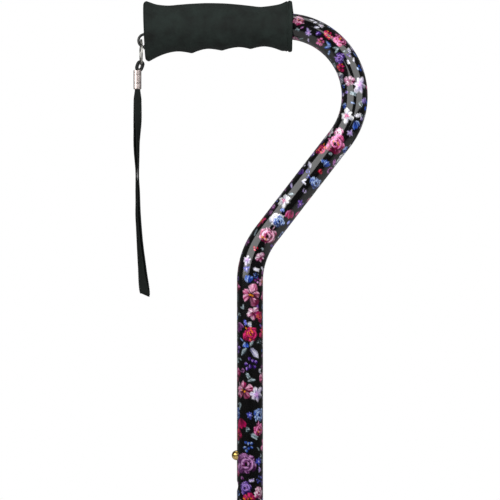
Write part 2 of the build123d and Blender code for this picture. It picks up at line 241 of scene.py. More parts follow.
def grained(name, dark, light, patch_mm, roughness, grain_mm, grain_depth_mm, stretch=(1, 1, 1), **sockets):
    """A material with soft colour patches, uneven roughness and a fine raised grain."""
    material, tree, shader = new_material(name, sockets)
    place = add(tree, "ShaderNodeTexCoord").outputs["Object"]
    place = add(tree, "ShaderNodeMapping", {"Vector": place, "Scale": stretch}).outputs["Vector"]
    patches = add(tree, "ShaderNodeTexNoise",
                  {"Vector": place, "Scale": 1 / (patch_mm * MM), "Detail": 4.0, "Roughness": 0.6})
    spread = {"Value": patches.outputs["Fac"], "From Min": 0.3, "From Max": 0.7}
    blend = add(tree, "ShaderNodeMapRange", spread)
    colour = add(tree, "ShaderNodeMix", {0: blend.outputs["Result"], 6: linear(dark), 7: linear(light)},
                 data_type="RGBA")
    rough = add(tree, "ShaderNodeMapRange", {**spread, "To Min": roughness[0], "To Max": roughness[1]})
    grain = add(tree, "ShaderNodeTexNoise",
                {"Vector": place, "Scale": 1 / (grain_mm * MM), "Detail": 2.0, "Roughness": 0.5})
    bump = add(tree, "ShaderNodeBump", {"Height": grain.outputs["Fac"], "Strength": 1.0,
                                        "Distance": grain_depth_mm * MM})
    tree.links.new(colour.outputs[2], shader.inputs["Base Color"])
    tree.links.new(rough.outputs["Result"], shader.inputs["Roughness"])
    tree.links.new(bump.outputs["Normal"], shader.inputs["Normal"])
    return material


def print_material():
    """Transfer-printed aluminium under clear lacquer: the flowers sit just under a wet-looking gloss."""
    material, tree, shader = new_material("lacquered flower print", {
        "Roughness": 0.4, "IOR": 1.5, "Specular_IOR_Level": 0.05, "Coat_Weight": 1.0, "Coat_Roughness": 0.09,
        "Coat_IOR": 1.5})
    painted = add(tree, "ShaderNodeAttribute", attribute_name="print")
    place = add(tree, "ShaderNodeTexCoord").outputs["Object"]
    # the ink has a faint cloudiness, about 3 mm across, that keeps flat petals from looking cut out
    cloud = add(tree, "ShaderNodeTexNoise", {"Vector": place, "Scale": 1 / (3 * MM), "Detail": 3.0})
    level = add(tree, "ShaderNodeMapRange", {
        "Value": cloud.outputs["Fac"], "From Min": 0.25, "From Max": 0.75, "To Min": 0.82, "To Max": 1.1})
    inked = add(tree, "ShaderNodeVectorMath", {0: painted.outputs["Color"], 1: level.outputs["Result"]},
                operation="MULTIPLY")
    # translucent inks let the bright metal shine through; the black ground hides it
    strength = add(tree, "ShaderNodeSeparateColor", {"Color": painted.outputs["Color"]}, mode="HSV")
    shine = add(tree, "ShaderNodeMapRange", {
        "Value": strength.outputs["Blue"], "From Min": 0.01, "From Max": 0.12, "To Min": 0.0, "To Max": 0.4})
    # lacquer flows out to a slight ripple, about 6 mm across
    ripple = add(tree, "ShaderNodeTexNoise", {"Vector": place, "Scale": 1 / (6 * MM), "Detail": 1.0})
    bump = add(tree, "ShaderNodeBump",
               {"Height": ripple.outputs["Fac"], "Strength": 0.4, "Distance": 0.05 * MM})
    tree.links.new(inked.outputs["Vector"], shader.inputs["Base Color"])
    tree.links.new(shine.outputs["Result"], shader.inputs["Metallic"])
    tree.links.new(bump.outputs["Normal"], shader.inputs["Coat Normal"])
    return material


def bare_aluminium():
    """Sawn and drilled aluminium: pale, slightly streaked metal at the tube's ends and hole walls."""
    return grained("sawn aluminium", "#b9bcc0", "#d4d6d8", 2.0, (0.28, 0.45), 0.4, 0.01, Metallic=1.0)


def grip_material(settings):
    """Moulded rubber: matt, faintly stippled, with dry, greenish grey patches where it has been handled."""
    # the real stipple is about 0.3 mm; it is drawn at 0.8 mm so that it shows
    return grained("moulded stippled rubber", settings.grip_colour, "#1c2421", 13.0, (0.62, 0.78), 0.8, 0.09,
                   IOR=1.48, Specular_IOR_Level=0.17)


def tape_material(settings):
    """Woven polyester tape: black, dry-looking yarn with a faint light on the crests of the weave."""
    # the yarn's crests are about 0.7 mm long and its threads about 0.35 mm wide
    return grained("woven polyester tape", settings.tape_colour, "#191e1b", 0.7, (0.6, 0.85), 0.35, 0.08,
                   Specular_IOR_Level=0.12)


def cord_material():
    """Braided polyester cord: black, a little glossier than the tape because its yarn is tighter."""
    return grained("braided polyester cord", "#060707", "#121514", 0.8, (0.45, 0.6), 0.3, 0.05,
                   Sheen_Weight=0.02, Specular_IOR_Level=0.25)


def nylon_material():
    """Moulded black nylon: dark and satin, with small soft highlights."""
    return grained("moulded black nylon", "#080909", "#101212", 5.0, (0.3, 0.42), 1.2, 0.01, IOR=1.53)


def collar_material():
    """Moulded ABS with a spark-eroded finish: black, even and satin, so its ribs read by their edges."""
    return grained("spark-finished ABS", "#151618", "#1f2123", 6.0, (0.38, 0.5), 0.6, 0.03, IOR=1.54)


def white_nylon_material():
    """Natural nylon: milky, slightly see-through white that goes yellow with age."""
    return grained("natural nylon", "#dcd8cb", "#ece9df", 7.0, (0.35, 0.5), 1.0, 0.01,
                   IOR=1.53, Subsurface_Weight=0.15, Subsurface_Scale=1.5 * MM)


def nickel_material():
    """Bright nickel plate: a warm, slightly soft mirror with fine rolled lines along the crimp."""
    return grained("bright nickel plate", "#b4a8a4", "#bfb4b1", 3.0, (0.26, 0.30), 0.3, 0.001,
                   stretch=(1, 1, 0.1), Metallic=1.0)


def seam_material():
    """The gap where the ferrule's two edges meet: brownish dark, as no light comes back out of it."""
    return grained("crimp seam", "#17110d", "#261e18", 1.0, (0.5, 0.6), 0.3, 0.001, Specular_IOR_Level=0.2)


def ring_material():
    """Nickel-plated spring wire: grey, shiny where it is whole and dull where it is scuffed."""
    return grained("nickel-plated wire", "#9b9a94", "#d3d1ca", 1.5, (0.2, 0.38), 0.4, 0.01, Metallic=1.0)


def spring_material():
    """Rolled spring steel: grey with a lengthwise rolling grain."""
    return grained("rolled spring steel", "#7d7f80", "#a3a5a6", 2.0, (0.25, 0.4), 0.3, 0.01,
                   stretch=(1, 1, 0.08), Metallic=1.0)


def brass_material():
    """Polished brass: warm gold with slight brown tarnish in patches."""
    return grained("polished brass", "#a98a48", "#cbb070", 2.5, (0.12, 0.3), 0.5, 0.006, Metallic=1.0)


def anodised_material():
    """Black anodised aluminium: satin, with faint drawing lines along the tube."""
    return grained("black anodised aluminium", "#17181b", "#2a2b2f", 3.0, (0.3, 0.44), 0.5, 0.008,
                   stretch=(1, 1, 0.04), Metallic=0.6)


def hub_material():
    """Cast aluminium under textured black powder coat: a pebbled satin skin."""
    # powder coat pebbles are about 0.8 mm across; they are drawn at 1.4 mm so that they show
    return grained("textured powder coat", "#141517", "#202225", 12.0, (0.42, 0.55), 1.4, 0.10, IOR=1.5)


def leg_material():
    """Smooth black powder coat on steel tube: semi-gloss, with orange peel 2.5 mm from crest to crest."""
    return grained("smooth powder coat", "#101113", "#18191c", 20.0, (0.2, 0.3), 2.5, 0.03,
                   IOR=1.5, Coat_Weight=0.3, Coat_Roughness=0.12)


def zinc_material():
    """Clear zinc plate: cool grey metal, cloudy in patches where the plating bath left its mark."""
    return grained("clear zinc plate", "#a9acb0", "#cfd2d6", 2.2, (0.25, 0.42), 0.5, 0.008, Metallic=1.0)


def tip_material():
    """Moulded carbon-black rubber: dull, with a grey bloom in patches."""
    return grained("carbon-black rubber", "#17181a", "#2b2c2d", 8.0, (0.6, 0.82), 0.9, 0.05,
                   IOR=1.49, Specular_IOR_Level=0.35, Sheen_Weight=0.08)


# ---- The shaft's centre line ----

# radii of the two bends, the straight slope between them, and its lean from upright
UPPER_BEND_R = 58.7
LOWER_BEND_R = 63.2
SLOPE_RUN = 102.5
SLOPE_LEAN = radians(37.67)
UPPER_TURN = pi / 2 + SLOPE_LEAN
BEND_X = (SLOPE_RUN * sin(SLOPE_LEAN) + LOWER_BEND_R * (1 - cos(SLOPE_LEAN))
          - UPPER_BEND_R * cos(SLOPE_LEAN))
BENDS_DROP = (UPPER_BEND_R * (1 - cos(UPPER_TURN)) + SLOPE_RUN * cos(SLOPE_LEAN)
              + LOWER_BEND_R * sin(SLOPE_LEAN))
# lengths of the shaft's five stretches, from its end in the grip to its lower end
SHAFT_RUNS = (BEND_X - TUBE_LOW[0], UPPER_BEND_R * UPPER_TURN, SLOPE_RUN, LOWER_BEND_R * SLOPE_LEAN,
              AXIS_Z - BENDS_DROP - TUBE_LOW[2])
SHAFT_END = sum(SHAFT_RUNS)
LIP_X = box_mm("hand_grip")[1][0]       # the grip's open end, and its place along the shaft
LIP_S = LIP_X - TUBE_LOW[0]


def shaft_line(s):
    """Place and direction, in the XZ plane, at each length s along the shaft's centre line."""
    spans, here = [], 0.0
    for run in SHAFT_RUNS:
        spans.append(np.clip(s - here, 0.0, run))
        here += run
    level, over, slope, under, down = spans
    turn = over / UPPER_BEND_R - under / LOWER_BEND_R
    x = TUBE_LOW[0] + level + UPPER_BEND_R * np.sin(over / UPPER_BEND_R)
    z = AXIS_Z - UPPER_BEND_R * (1 - np.cos(over / UPPER_BEND_R))
    left = SLOPE_LEAN - under / LOWER_BEND_R
    x = x - slope * sin(SLOPE_LEAN) - LOWER_BEND_R * (np.cos(left) - cos(SLOPE_LEAN))
    z = z - slope * cos(SLOPE_LEAN) - LOWER_BEND_R * (sin(SLOPE_LEAN) - np.sin(left)) - down
    return np.stack([x, z], -1), np.stack([np.cos(turn), -np.sin(turn)], -1)


def on_shaft(s, angle, radius):
    """Points at a radius from the centre line; angle 0 faces -Y, and 90 degrees is the outer side."""
    centre, along = shaft_line(s)
    outward = radius * np.sin(angle)
    return np.stack([centre[..., 0] - outward * along[..., 1], -radius * np.cos(angle),
                     centre[..., 1] + outward * along[..., 0]], -1)


# ---- The flower print ----

# each ink's deep, middle and pale colour, and the colour of its flowers' hearts
INKS = {
    "rose": ("#4a0630", "#d02a86", "#ffd2e8", "#e0a030"),
    "magenta": ("#44052c", "#c8107a", "#ffaedb", "#f0b030"),
    "pink": ("#8a1a60", "#e070b2", "#fff2fa", "#98104e"),
    "mauve": ("#300a34", "#8e3c8e", "#e2b4e2", "#700f48"),
    "purple": ("#220a4c", "#6a34a8", "#c8acf0", "#dca8d8"),
    "violet": ("#1a1a66", "#4e52c4", "#b4baf6", "#ece6fc"),
    "blue": ("#0f2056", "#4a78d6", "#cfe2ff", "#10142e"),
    "white": ("#60608e", "#e6e4f4", "#ffffff", "#c83c8a"),
    "lilac": ("#4e3e90", "#b69ee4", "#fbf6ff", "#dcb0e4"),
    "ember": ("#4c0430", "#c21274", "#f2589a", "#ffac24"),
    "red": ("#58041c", "#d01450", "#ff7e98", "#f2ac38"),
    "grey": ("#141f22", "#64767e", "#d6e4ea", "#48585e"),
}
GROUND = "#0b0a0e"
INK_EDGE = 0.5              # a stroke's edge fades over this many millimetres
LIGHT_TURN = radians(215)   # petals that point up and to the left are painted paler


class Print:
    """Ink laid on the tube, kept as one colour for each point of its surface."""

    def __init__(self, s, angle, rng):
        self.s = s
        self.across = angle * TUBE_R
        self.girth = tau * TUBE_R
        self.colour = np.tile(np.array(linear(GROUND)[:3]), (len(s), len(angle), 1))
        self.rng = rng

    def near(self, s, across, reach):
        """The rows within reach of a place, and how far each point lies from it, along and across."""
        rows = slice(*np.searchsorted(self.s, (s - reach, s + reach)))
        da = (self.across[None, :] - across + self.girth / 2) % self.girth - self.girth / 2
        return rows, self.s[rows, None] - s, da

    def lay(self, rows, colour, alpha):
        """Covers what is there with a colour, as densely as alpha says."""
        patch = self.colour[rows]
        patch += (colour - patch) * alpha[..., None]

    def petal(self, s, across, turn, length, half, base, tip, rim=None, belly=1.0, veins=0.0, cover=1.0):
        """One brush stroke: it starts at a place, runs along a direction, and swells to a half width."""
        rows, ds, da = self.near(s, across, length + half + 1.0)
        if rows.start >= rows.stop:
            return
        along = (ds * cos(turn) + da * sin(turn)) / length
        side = da * cos(turn) - ds * sin(turn)
        t = np.clip(along, 1e-4, 1 - 1e-4)
        ragged = 1 + 0.14 * np.sin(9 * t + self.rng.uniform(0, tau))
        swell = half * np.sin(pi * t ** belly) ** 0.75 * ragged
        ends = np.clip(np.minimum(along, 1 - along) * length / 0.4 + 0.5, 0.0, 1.0)
        alpha = np.clip((swell - np.abs(side)) / INK_EDGE + 0.5, 0.0, 1.0) * ends * cover
        edge = np.abs(side) / np.maximum(swell, 0.05)
        beat, start = self.rng.uniform(2.6, 5.0), self.rng.uniform(0, tau)
        brush = np.sin(side * beat + start + 2.5 * t)
        ink = base + (tip - base) * np.clip(t + 0.28 * brush, 0.0, 1.0)[..., None]
        if rim is not None:
            # the edge that faces the painted light is pale, and the other falls into shade
            lit = np.sign(side) * sin(LIGHT_TURN - turn)
            paler = np.clip((edge - 0.25) / 0.5, 0.0, 1.0) * np.clip(lit + 0.15, 0, 1)
            darker = 0.6 * np.clip((edge - 0.4) / 0.5, 0.0, 1.0) * np.clip(-lit, 0, 1)
            ink = (ink + (rim - ink) * paler[..., None]) * (1 - darker)[..., None]
        if veins:
            streak = 1 - veins * (0.5 + 0.5 * np.cos(side / max(half, 0.3) * 7.0)) * (1 - 0.5 * t)
            ink = ink * streak[..., None]
        self.lay(rows, ink, alpha)

    def arc(self, s, across, radius, start, sweep, half, colour, cover=1.0):
        """A curved stroke round a centre, thin at both ends."""
        rows, ds, da = self.near(s, across, radius + half + 1.0)
        if rows.start >= rows.stop:
            return
        part = ((np.arctan2(da, ds) - start) % tau) / sweep
        taper = half * np.sin(pi * np.clip(part, 0.0, 1.0)) ** 0.6
        alpha = np.clip((taper - np.abs(np.hypot(ds, da) - radius)) / INK_EDGE + 0.5, 0.0, 1.0)
        self.lay(rows, colour, alpha * (part < 1) * cover)


def inks(name):
    """An ink's four colours, linear."""
    return [np.array(linear(colour)[:3]) for colour in INKS[name]]


def off(s, across, way, out):
    """The place that lies a distance out from another, in a direction."""
    return s + out * cos(way), across + out * sin(way)


def wheel(ink, s, across, turn, count, length, half, base, tip, rim, **look):
    """Petals round a centre, each a little different from the next and paler on the lit side."""
    for k in range(count):
        way = turn + k * tau / count + ink.rng.uniform(-0.2, 0.2)
        size = ink.rng.uniform(0.66, 1.18)
        lit = 0.5 + 0.5 * cos(way - LIGHT_TURN) + ink.rng.uniform(-0.3, 0.3)
        end = tip * (0.45 + 0.55 * lit)
        if rim is not None:
            end = end + (rim - end) * max(lit - 0.55, 0.0) * 0.9
        ink.petal(s, across, way, length * size, half * size, base, end, rim, **look)
        if rim is not None and half > 1.0:
            bend = ink.rng.uniform(-0.35, 0.35)
            ink.petal(*off(s, across, way, 0.3 * length), way + bend, 0.6 * length, 0.3, rim, rim,
                      cover=0.35 + 0.5 * max(lit, 0.0))


def spot(ink, s, across, radius, colour):
    """A round dot."""
    ink.petal(s - radius, across, 0.0, 2 * radius, radius, colour, colour)


def heart_of(ink, s, across, size, name, shade, glints, spread, dab):
    """A flower's middle: a dark spot, pale glints over the petals, and dabs of its heart's colour."""
    deep, _, pale, heart = inks(name)
    spot(ink, s, across, 0.08 * size, deep * shade)
    glint = heart if name == "ember" else pale
    for _ in range(glints):
        way, out = LIGHT_TURN + ink.rng.normal(0, 1.1), size * ink.rng.uniform(0.12, 0.42)
        ink.petal(*off(s, across, way, out), way + ink.rng.uniform(-1.2, 1.2),
                  size * ink.rng.uniform(0.1, 0.22), ink.rng.uniform(0.25, 0.45), glint, glint, cover=0.85)
    for _ in range(3):
        shift = ink.rng.uniform(-spread, spread, 2) * size
        spot(ink, s + shift[0], across + shift[1], dab * size, heart)


def rose(ink, s, across, size, turn, name):
    """A full rose: loose outer petals, then folded ones drawn as arcs round a dark heart."""
    deep, mid, pale, _ = inks(name)
    wheel(ink, s, across, turn, 6, 0.54 * size, 0.23 * size, deep, mid, pale, belly=1.6, veins=0.25)
    wheel(ink, s, across, turn + 0.5, 4, 0.36 * size, 0.18 * size, deep, mid, pale, belly=1.5, veins=0.2)
    for k, out in enumerate((0.33, 0.25, 0.18, 0.12)):
        start = turn + 2.3 * k + ink.rng.uniform(-0.3, 0.3)
        ink.arc(s, across, (out + 0.045) * size, start, 2.6, 0.05 * size, deep * 0.6, cover=0.85)
        ink.arc(s, across, out * size, start + 0.2, 2.3, 0.045 * size, pale, cover=0.8)
        ink.arc(s, across, out * size, start + 3.2, 2.0, 0.04 * size, mid, cover=0.8)
    heart_of(ink, s, across, size, name, shade=0.4, glints=7, spread=0.2, dab=0.045)


def bloom(ink, s, across, size, turn, name):
    """An open flower with five broad, streaked petals and dark gaps between them."""
    deep, mid, pale, _ = inks(name)
    wheel(ink, s, across, turn, 5, 0.54 * size, 0.23 * size, deep, mid, pale, belly=1.6, veins=0.45)
    for k in range(5):
        gap = turn + (k + 0.5) * tau / 5
        ink.petal(s, across, gap, 0.34 * size, 0.28, deep * 0.5, deep, cover=0.8)
        way = turn + k * tau / 5 + 0.15
        ink.petal(*off(s, across, way, 0.12 * size), way, 0.34 * size, 0.35, mid, pale, cover=0.75)
    heart_of(ink, s, across, size, name, shade=0.5, glints=6, spread=0.1, dab=0.04)


def lily(ink, s, across, size, turn, name):
    """Six pointed petals with a dark throat."""
    deep, mid, pale, heart = inks(name)
    wheel(ink, s, across, turn, 3, 0.55 * size, 0.15 * size, mid, pale, pale, belly=1.2, veins=0.3)
    wheel(ink, s, across, turn + tau / 6, 3, 0.52 * size, 0.17 * size, deep, pale, pale, belly=1.3, veins=0.2)
    wheel(ink, s, across, turn, 6, 0.25 * size, 0.035 * size, heart, heart, None, belly=1.0)


def star(ink, s, across, size, turn, name):
    """A small flower with six narrow petals."""
    _, mid, pale, heart = inks(name)
    wheel(ink, s, across, turn, 6, 0.52 * size, 0.12 * size, mid, pale, mid, belly=1.1, veins=0.15)
    spot(ink, s, across, 0.1 * size, heart)


def leaf(ink, s, across, size, turn, name):
    """A slim leaf with a pale rib."""
    deep, mid, pale, _ = inks(name)
    s, across = off(s, across, turn, -0.5 * size)
    ink.petal(s, across, turn, size, 0.22 * size, deep, mid, pale, belly=0.8, veins=0.3)
    ink.petal(s, across, turn, 1.05 * size, 0.28, pale, pale, belly=0.7, cover=0.7)


def leaves(ink, s, across, size, turn, name):
    """A pair of leaves from one stalk."""
    for end in (turn - 0.55, turn + 0.55):
        leaf(ink, *off(s, across, end, 0.35 * size), 0.75 * size, end, name)


def sprig(ink, s, across, size, turn, name):
    """A thin stem with small leaves on both sides."""
    _, mid, pale, _ = inks(name)
    s, across = off(s, across, turn, -0.5 * size)
    ink.petal(s, across, turn, size, 0.3, mid, pale)
    for k in range(4):
        for side in (-0.8, 0.8):
            ink.petal(*off(s, across, turn, (0.25 + 0.22 * k) * size), turn + side, 0.34 * size, 0.09 * size,
                      mid, pale, belly=0.9)


def bells(ink, s, across, size, turn, name):
    """A cluster of small hanging flowers."""
    deep, mid, pale, _ = inks(name)
    for k in range(7):
        way = turn + k * 2.4
        ink.petal(*off(s, across, way, 0.12 * size * sqrt(k)), way, 0.36 * size, 0.13 * size, deep, mid, pale,
                  belly=1.4)


def bud(ink, s, across, size, turn, name):
    """Three petals, still closed, that start from one point."""
    deep, mid, pale, _ = inks(name)
    start = off(s, across, turn, -0.5 * size)
    for side in (-0.45, 0.45, 0.0):
        ink.petal(*start, turn + side, size, 0.24 * size, deep, mid, pale, belly=1.2)


def berries(ink, s, across, size, turn, name):
    """Three round dots."""
    _, mid, pale, _ = inks(name)
    for k in range(3):
        spot(ink, *off(s, across, turn + k * 2.2, 0.35 * size), 0.2 * size, mid if k else pale)


def scroll(ink, s, across, size, turn, name):
    """A curl of small strokes, like a fern's tip."""
    _, mid, pale, _ = inks(name)
    for k in range(9):
        way = turn + k * 0.6
        place = off(s, across, way, 0.5 * size * (1 - k / 11))
        ink.petal(*place, way + 1.9, 0.26 * size, 0.075 * size, mid, pale)


# Flowers on the side that faces the viewer, from the grip downwards: the kind, its place along the
# tube from the grip's lip and its angle round it, its size, its turn, and its ink.
FLOWERS = [
    (rose, 5, 30, 9, 20, "rose"), (leaf, 17, 46, 4, 60, "white"), (leaf, 14, 52, 4, 10, "white"),
    (star, 15, -15, 8, 0, "lilac"), (bud, 23, 0, 4, 90, "purple"), (bloom, 28, -25, 8, 30, "magenta"),
    (leaf, 10, -55, 5, 30, "grey"), (bloom, 31, 20, 8, 10, "ember"), (rose, 40, 45, 13, 0, "magenta"),
    (leaves, 38, -15, 8, 200, "blue"), (leaves, 44, 5, 7, 250, "grey"), (leaf, 41, -42, 5, 120, "blue"),
    (rose, 51, -20, 9, 40, "purple"), (bloom, 59, -37, 8, 15, "ember"), (bud, 50, 40, 4, 60, "white"),
    (leaf, 55, 60, 5, 30, "blue"), (leaf, 58, 35, 4, 140, "white"), (bloom, 73, -15, 10, 25, "pink"),
    (lily, 78, 25, 14, 10, "lilac"), (sprig, 84, -15, 6, 70, "grey"), (bud, 90, 47, 5, 200, "lilac"),
    (bud, 96, -50, 5, 90, "blue"), (lily, 105, -25, 13, 20, "white"), (sprig, 102, 22, 6, 110, "white"),
    (bud, 109, 32, 7, 50, "blue"), (star, 117, 25, 6, 20, "lilac"), (rose, 122, -25, 9, 10, "pink"),
    (rose, 131, -5, 15, 45, "magenta"), (rose, 142, -42, 11, 20, "ember"), (bud, 130, 56, 6, 120, "blue"),
    (leaf, 158, -40, 7, 240, "white"), (bud, 149, 22, 6, 170, "blue"), (sprig, 143, 46, 6, 40, "mauve"),
    (scroll, 152, 60, 9, 60, "mauve"), (bud, 157, 20, 4, 0, "red"), (bud, 167, -57, 6, 30, "purple"),
    (rose, 167, 40, 11, 20, "blue"), (leaves, 173, -18, 6, 120, "white"), (leaf, 181, -52, 6, 60, "lilac"),
    (lily, 195, -30, 13, 35, "white"), (leaf, 187, -20, 5, 130, "grey"), (star, 189, 40, 8, 10, "purple"),
    (bud, 201, 30, 8, 20, "magenta"), (rose, 212, 0, 13, 0, "white"), (rose, 211, 10, 10, 30, "blue"),
    (leaves, 217, 57, 7, 60, "blue"), (rose, 227, 8, 17, 25, "rose"), (leaf, 230, -48, 6, 20, "grey"),
    (berries, 241, -8, 4, 0, "red"), (bloom, 247, 30, 9, 15, "pink"), (lily, 252, -27, 8, 0, "lilac"),
    (star, 259, -20, 6, 25, "violet"), (sprig, 258, 20, 6, 80, "white"), (sprig, 256, 56, 5, 60, "white"),
    (bud, 267, -6, 7, 170, "blue"), (bloom, 280, 4, 17, 20, "rose"), (bloom, 296, 14, 12, 0, "pink"),
    (rose, 299, 48, 8, 30, "ember"), (bud, 305, -2, 4, 90, "white"), (rose, 313, 4, 13, 10, "ember"),
    (bud, 307, -54, 8, 40, "mauve"), (leaves, 292, -28, 6, 220, "grey"), (bud, 322, -20, 5, 0, "blue"),
    (leaf, 328, -28, 8, 320, "grey"), (leaf, 329, 22, 11, 40, "white"), (leaf, 321, 8, 6, 150, "grey"),
    (bells, 338, 2, 10, 0, "purple"), (leaves, 344, 42, 5, 90, "white"), (sprig, 347, -12, 5, 30, "grey"),
    (bloom, 360, -28, 17, 35, "rose"), (leaf, 352, 8, 7, 100, "grey"), (lily, 364, 32, 14, 15, "lilac"),
    (leaves, 372, -42, 7, 300, "grey"), (rose, 381, 47, 12, 5, "blue"), (bud, 388, -42, 9, 10, "ember"),
    (star, 381, 0, 6, 15, "violet"), (rose, 393, 46, 12, 20, "magenta"), (sprig, 398, 14, 7, 60, "grey"),
    (bells, 407, -10, 8, 20, "blue"), (rose, 422, -18, 17, 5, "mauve"), (star, 420, 42, 7, 0, "violet"),
    (star, 427, 50, 5, 20, "lilac"), (bells, 435, 46, 6, 0, "violet"), (rose, 442, -22, 11, 40, "purple"),
    (rose, 446, 44, 10, 25, "pink"),
]
LARGE_FLOWERS = (rose, bloom, lily, rose, bloom)
LARGE_INKS = ("rose", "magenta", "pink", "mauve", "purple", "blue", "white", "lilac", "rose", "magenta",
              "ember")
SMALL_FLOWERS = (leaf, leaves, star, bud, sprig, bells, berries, leaf, scroll)
SMALL_INKS = ("grey", "white", "blue", "lilac", "grey", "mauve", "violet", "purple")
# what fills the rest: a range of sizes, the kinds, and how many places are tried
FILLERS = (((9, 17), LARGE_FLOWERS, 1500), ((5, 9), SMALL_FLOWERS, 3500), ((3, 5), SMALL_FLOWERS, 4500))
LEAST_APART = 0.46          # two flowers' middles stay this share of their sizes' sum apart
CHOSEN_HALF = 1.15          # the side with the chosen flowers, in radians each way from its middle
INK_CONTRAST = 1.42         # the inks are deepened by this power, as they lie on black


def print_flowers(ink, settings):
    """Lays the chosen flowers, and fills the rest of the tube with others like them."""
    rng = ink.rng
    laid = [(s, radians(angle) * TUBE_R, size) for _, s, angle, size, _, _ in FLOWERS]
    filler = []
    for size_range, kinds, tries in FILLERS:
        names = LARGE_INKS if kinds is LARGE_FLOWERS else SMALL_INKS
        for _ in range(int(tries * settings.fullness)):
            s, across = rng.uniform(-6, SHAFT_END - LIP_S), rng.uniform(-pi, pi) * TUBE_R
            size = rng.uniform(*size_range)
            kind = kinds[rng.integers(len(kinds))]
            turn = radians(rng.uniform(0, 360))
            name = names[rng.integers(len(names))]
            chosen_side = s < FLOWERS[-1][1] and abs(across) < CHOSEN_HALF * TUBE_R
            if chosen_side and (size > 5 or rng.random() < 0.85):
                continue
            if all(hypot(s - a, (across - b + pi * TUBE_R) % (tau * TUBE_R) - pi * TUBE_R)
                   > LEAST_APART * (size + c) for a, b, c in laid):
                laid.append((s, across, size))
                filler.append((kind, s, across, size, turn, name))
    for kind, *place in sorted(filler, key=lambda flower: flower[3]):
        kind(ink, *place)
    for kind, s, angle, size, turn, name in FLOWERS:
        kind(ink, s, radians(angle) * TUBE_R, size, radians(turn), name)
    ink.colour = ink.colour ** INK_CONTRAST * rng.uniform(0.86, 1.08, ink.colour.shape[:2] + (1,))


# ---- The upper tube ----

COLUMNS = 102               # points round the outside; the bore has a third of them
BORE_COLUMNS = COLUMNS // 3
HOLE_ROWS = 36              # rings from one height hole to the next
BEND_ROWS = 27              # rings from the end in the grip to where the fine rings start
HOLE_HALF = 6               # a hole takes this many rings and columns each side of its middle
FADE_SHARE = 0.55           # how far the points round a hole's edge give way to it


def round_hole(s, angle, hole_s, hole_r, radius, reach, fade):
    """Moves the points round a hole so that those at its edge lie on its circle."""
    columns = len(angle)
    middle = int(np.argmin(np.abs(s - hole_s)))
    grid_s = np.repeat(s[:, None], columns, 1)
    grid_a = np.repeat(angle[None, :], len(s), 0)
    offset = (np.arange(columns) + columns // 2) % columns - columns // 2
    level = np.maximum(np.abs(np.arange(len(s)) - middle)[:, None], np.abs(offset)[None, :])
    for i, j in zip(*np.nonzero((level >= reach) & (level < reach + fade))):
        ds, da = s[i] - hole_s, offset[j] * tau * radius / columns
        away = hypot(ds, da)
        share = 1 - (level[i, j] - reach) / fade
        if share < 1:
            share *= FADE_SHARE
        grid_s[i, j] += share * (hole_s + hole_r * ds / away - s[i])
        grid_a[i, j] += share * (radius * np.arcsin(hole_r * da / away / radius) - da) / radius
    return grid_s, grid_a, middle, offset


def shell(rows_s, columns, radius, hole_s, hole_r, reach, fade):
    """One wall of the tube: its points, its faces, and the loop of points round each hole."""
    angle = full_turn(columns) - pi / 2
    grid_s = np.repeat(rows_s[:, None], columns, 1)
    grid_a = np.repeat(angle[None, :], len(rows_s), 0)
    keep = np.ones((len(rows_s) - 1, columns), bool)
    loops = []
    for place in hole_s:
        moved_s, moved_a, middle, offset = round_hole(rows_s, angle, place, hole_r, radius, reach, fade)
        grid_s += moved_s - rows_s[:, None]
        grid_a += moved_a - angle[None, :]
        inside = (offset >= -reach) & (offset < reach)
        keep[middle - reach:middle + reach, inside] = False
        side = list(range(-reach, reach))
        square = ([(-reach, j) for j in side] + [(i, reach) for i in side]
                  + [(reach, -j) for j in side] + [(-i, -reach) for i in side])
        loops.append([(middle + i) * columns + j % columns for i, j in square])
    points = on_shaft(grid_s, grid_a, radius)
    faces = np.array(skin(len(rows_s), columns)).reshape(len(rows_s) - 1, columns, 4)[keep]
    return points.reshape(-1, 3), faces.tolist(), loops, angle


def bridge(many, few):
    """Faces between two loops, where one has three points for each point of the other."""
    faces = []
    for k, a in enumerate(few):
        b = few[(k + 1) % len(few)]
        c = [many[(3 * k + i) % len(many)] for i in range(4)]
        faces += [[c[0], c[1], a], [c[1], c[2], b, a], [c[2], c[3], b]]
    return faces


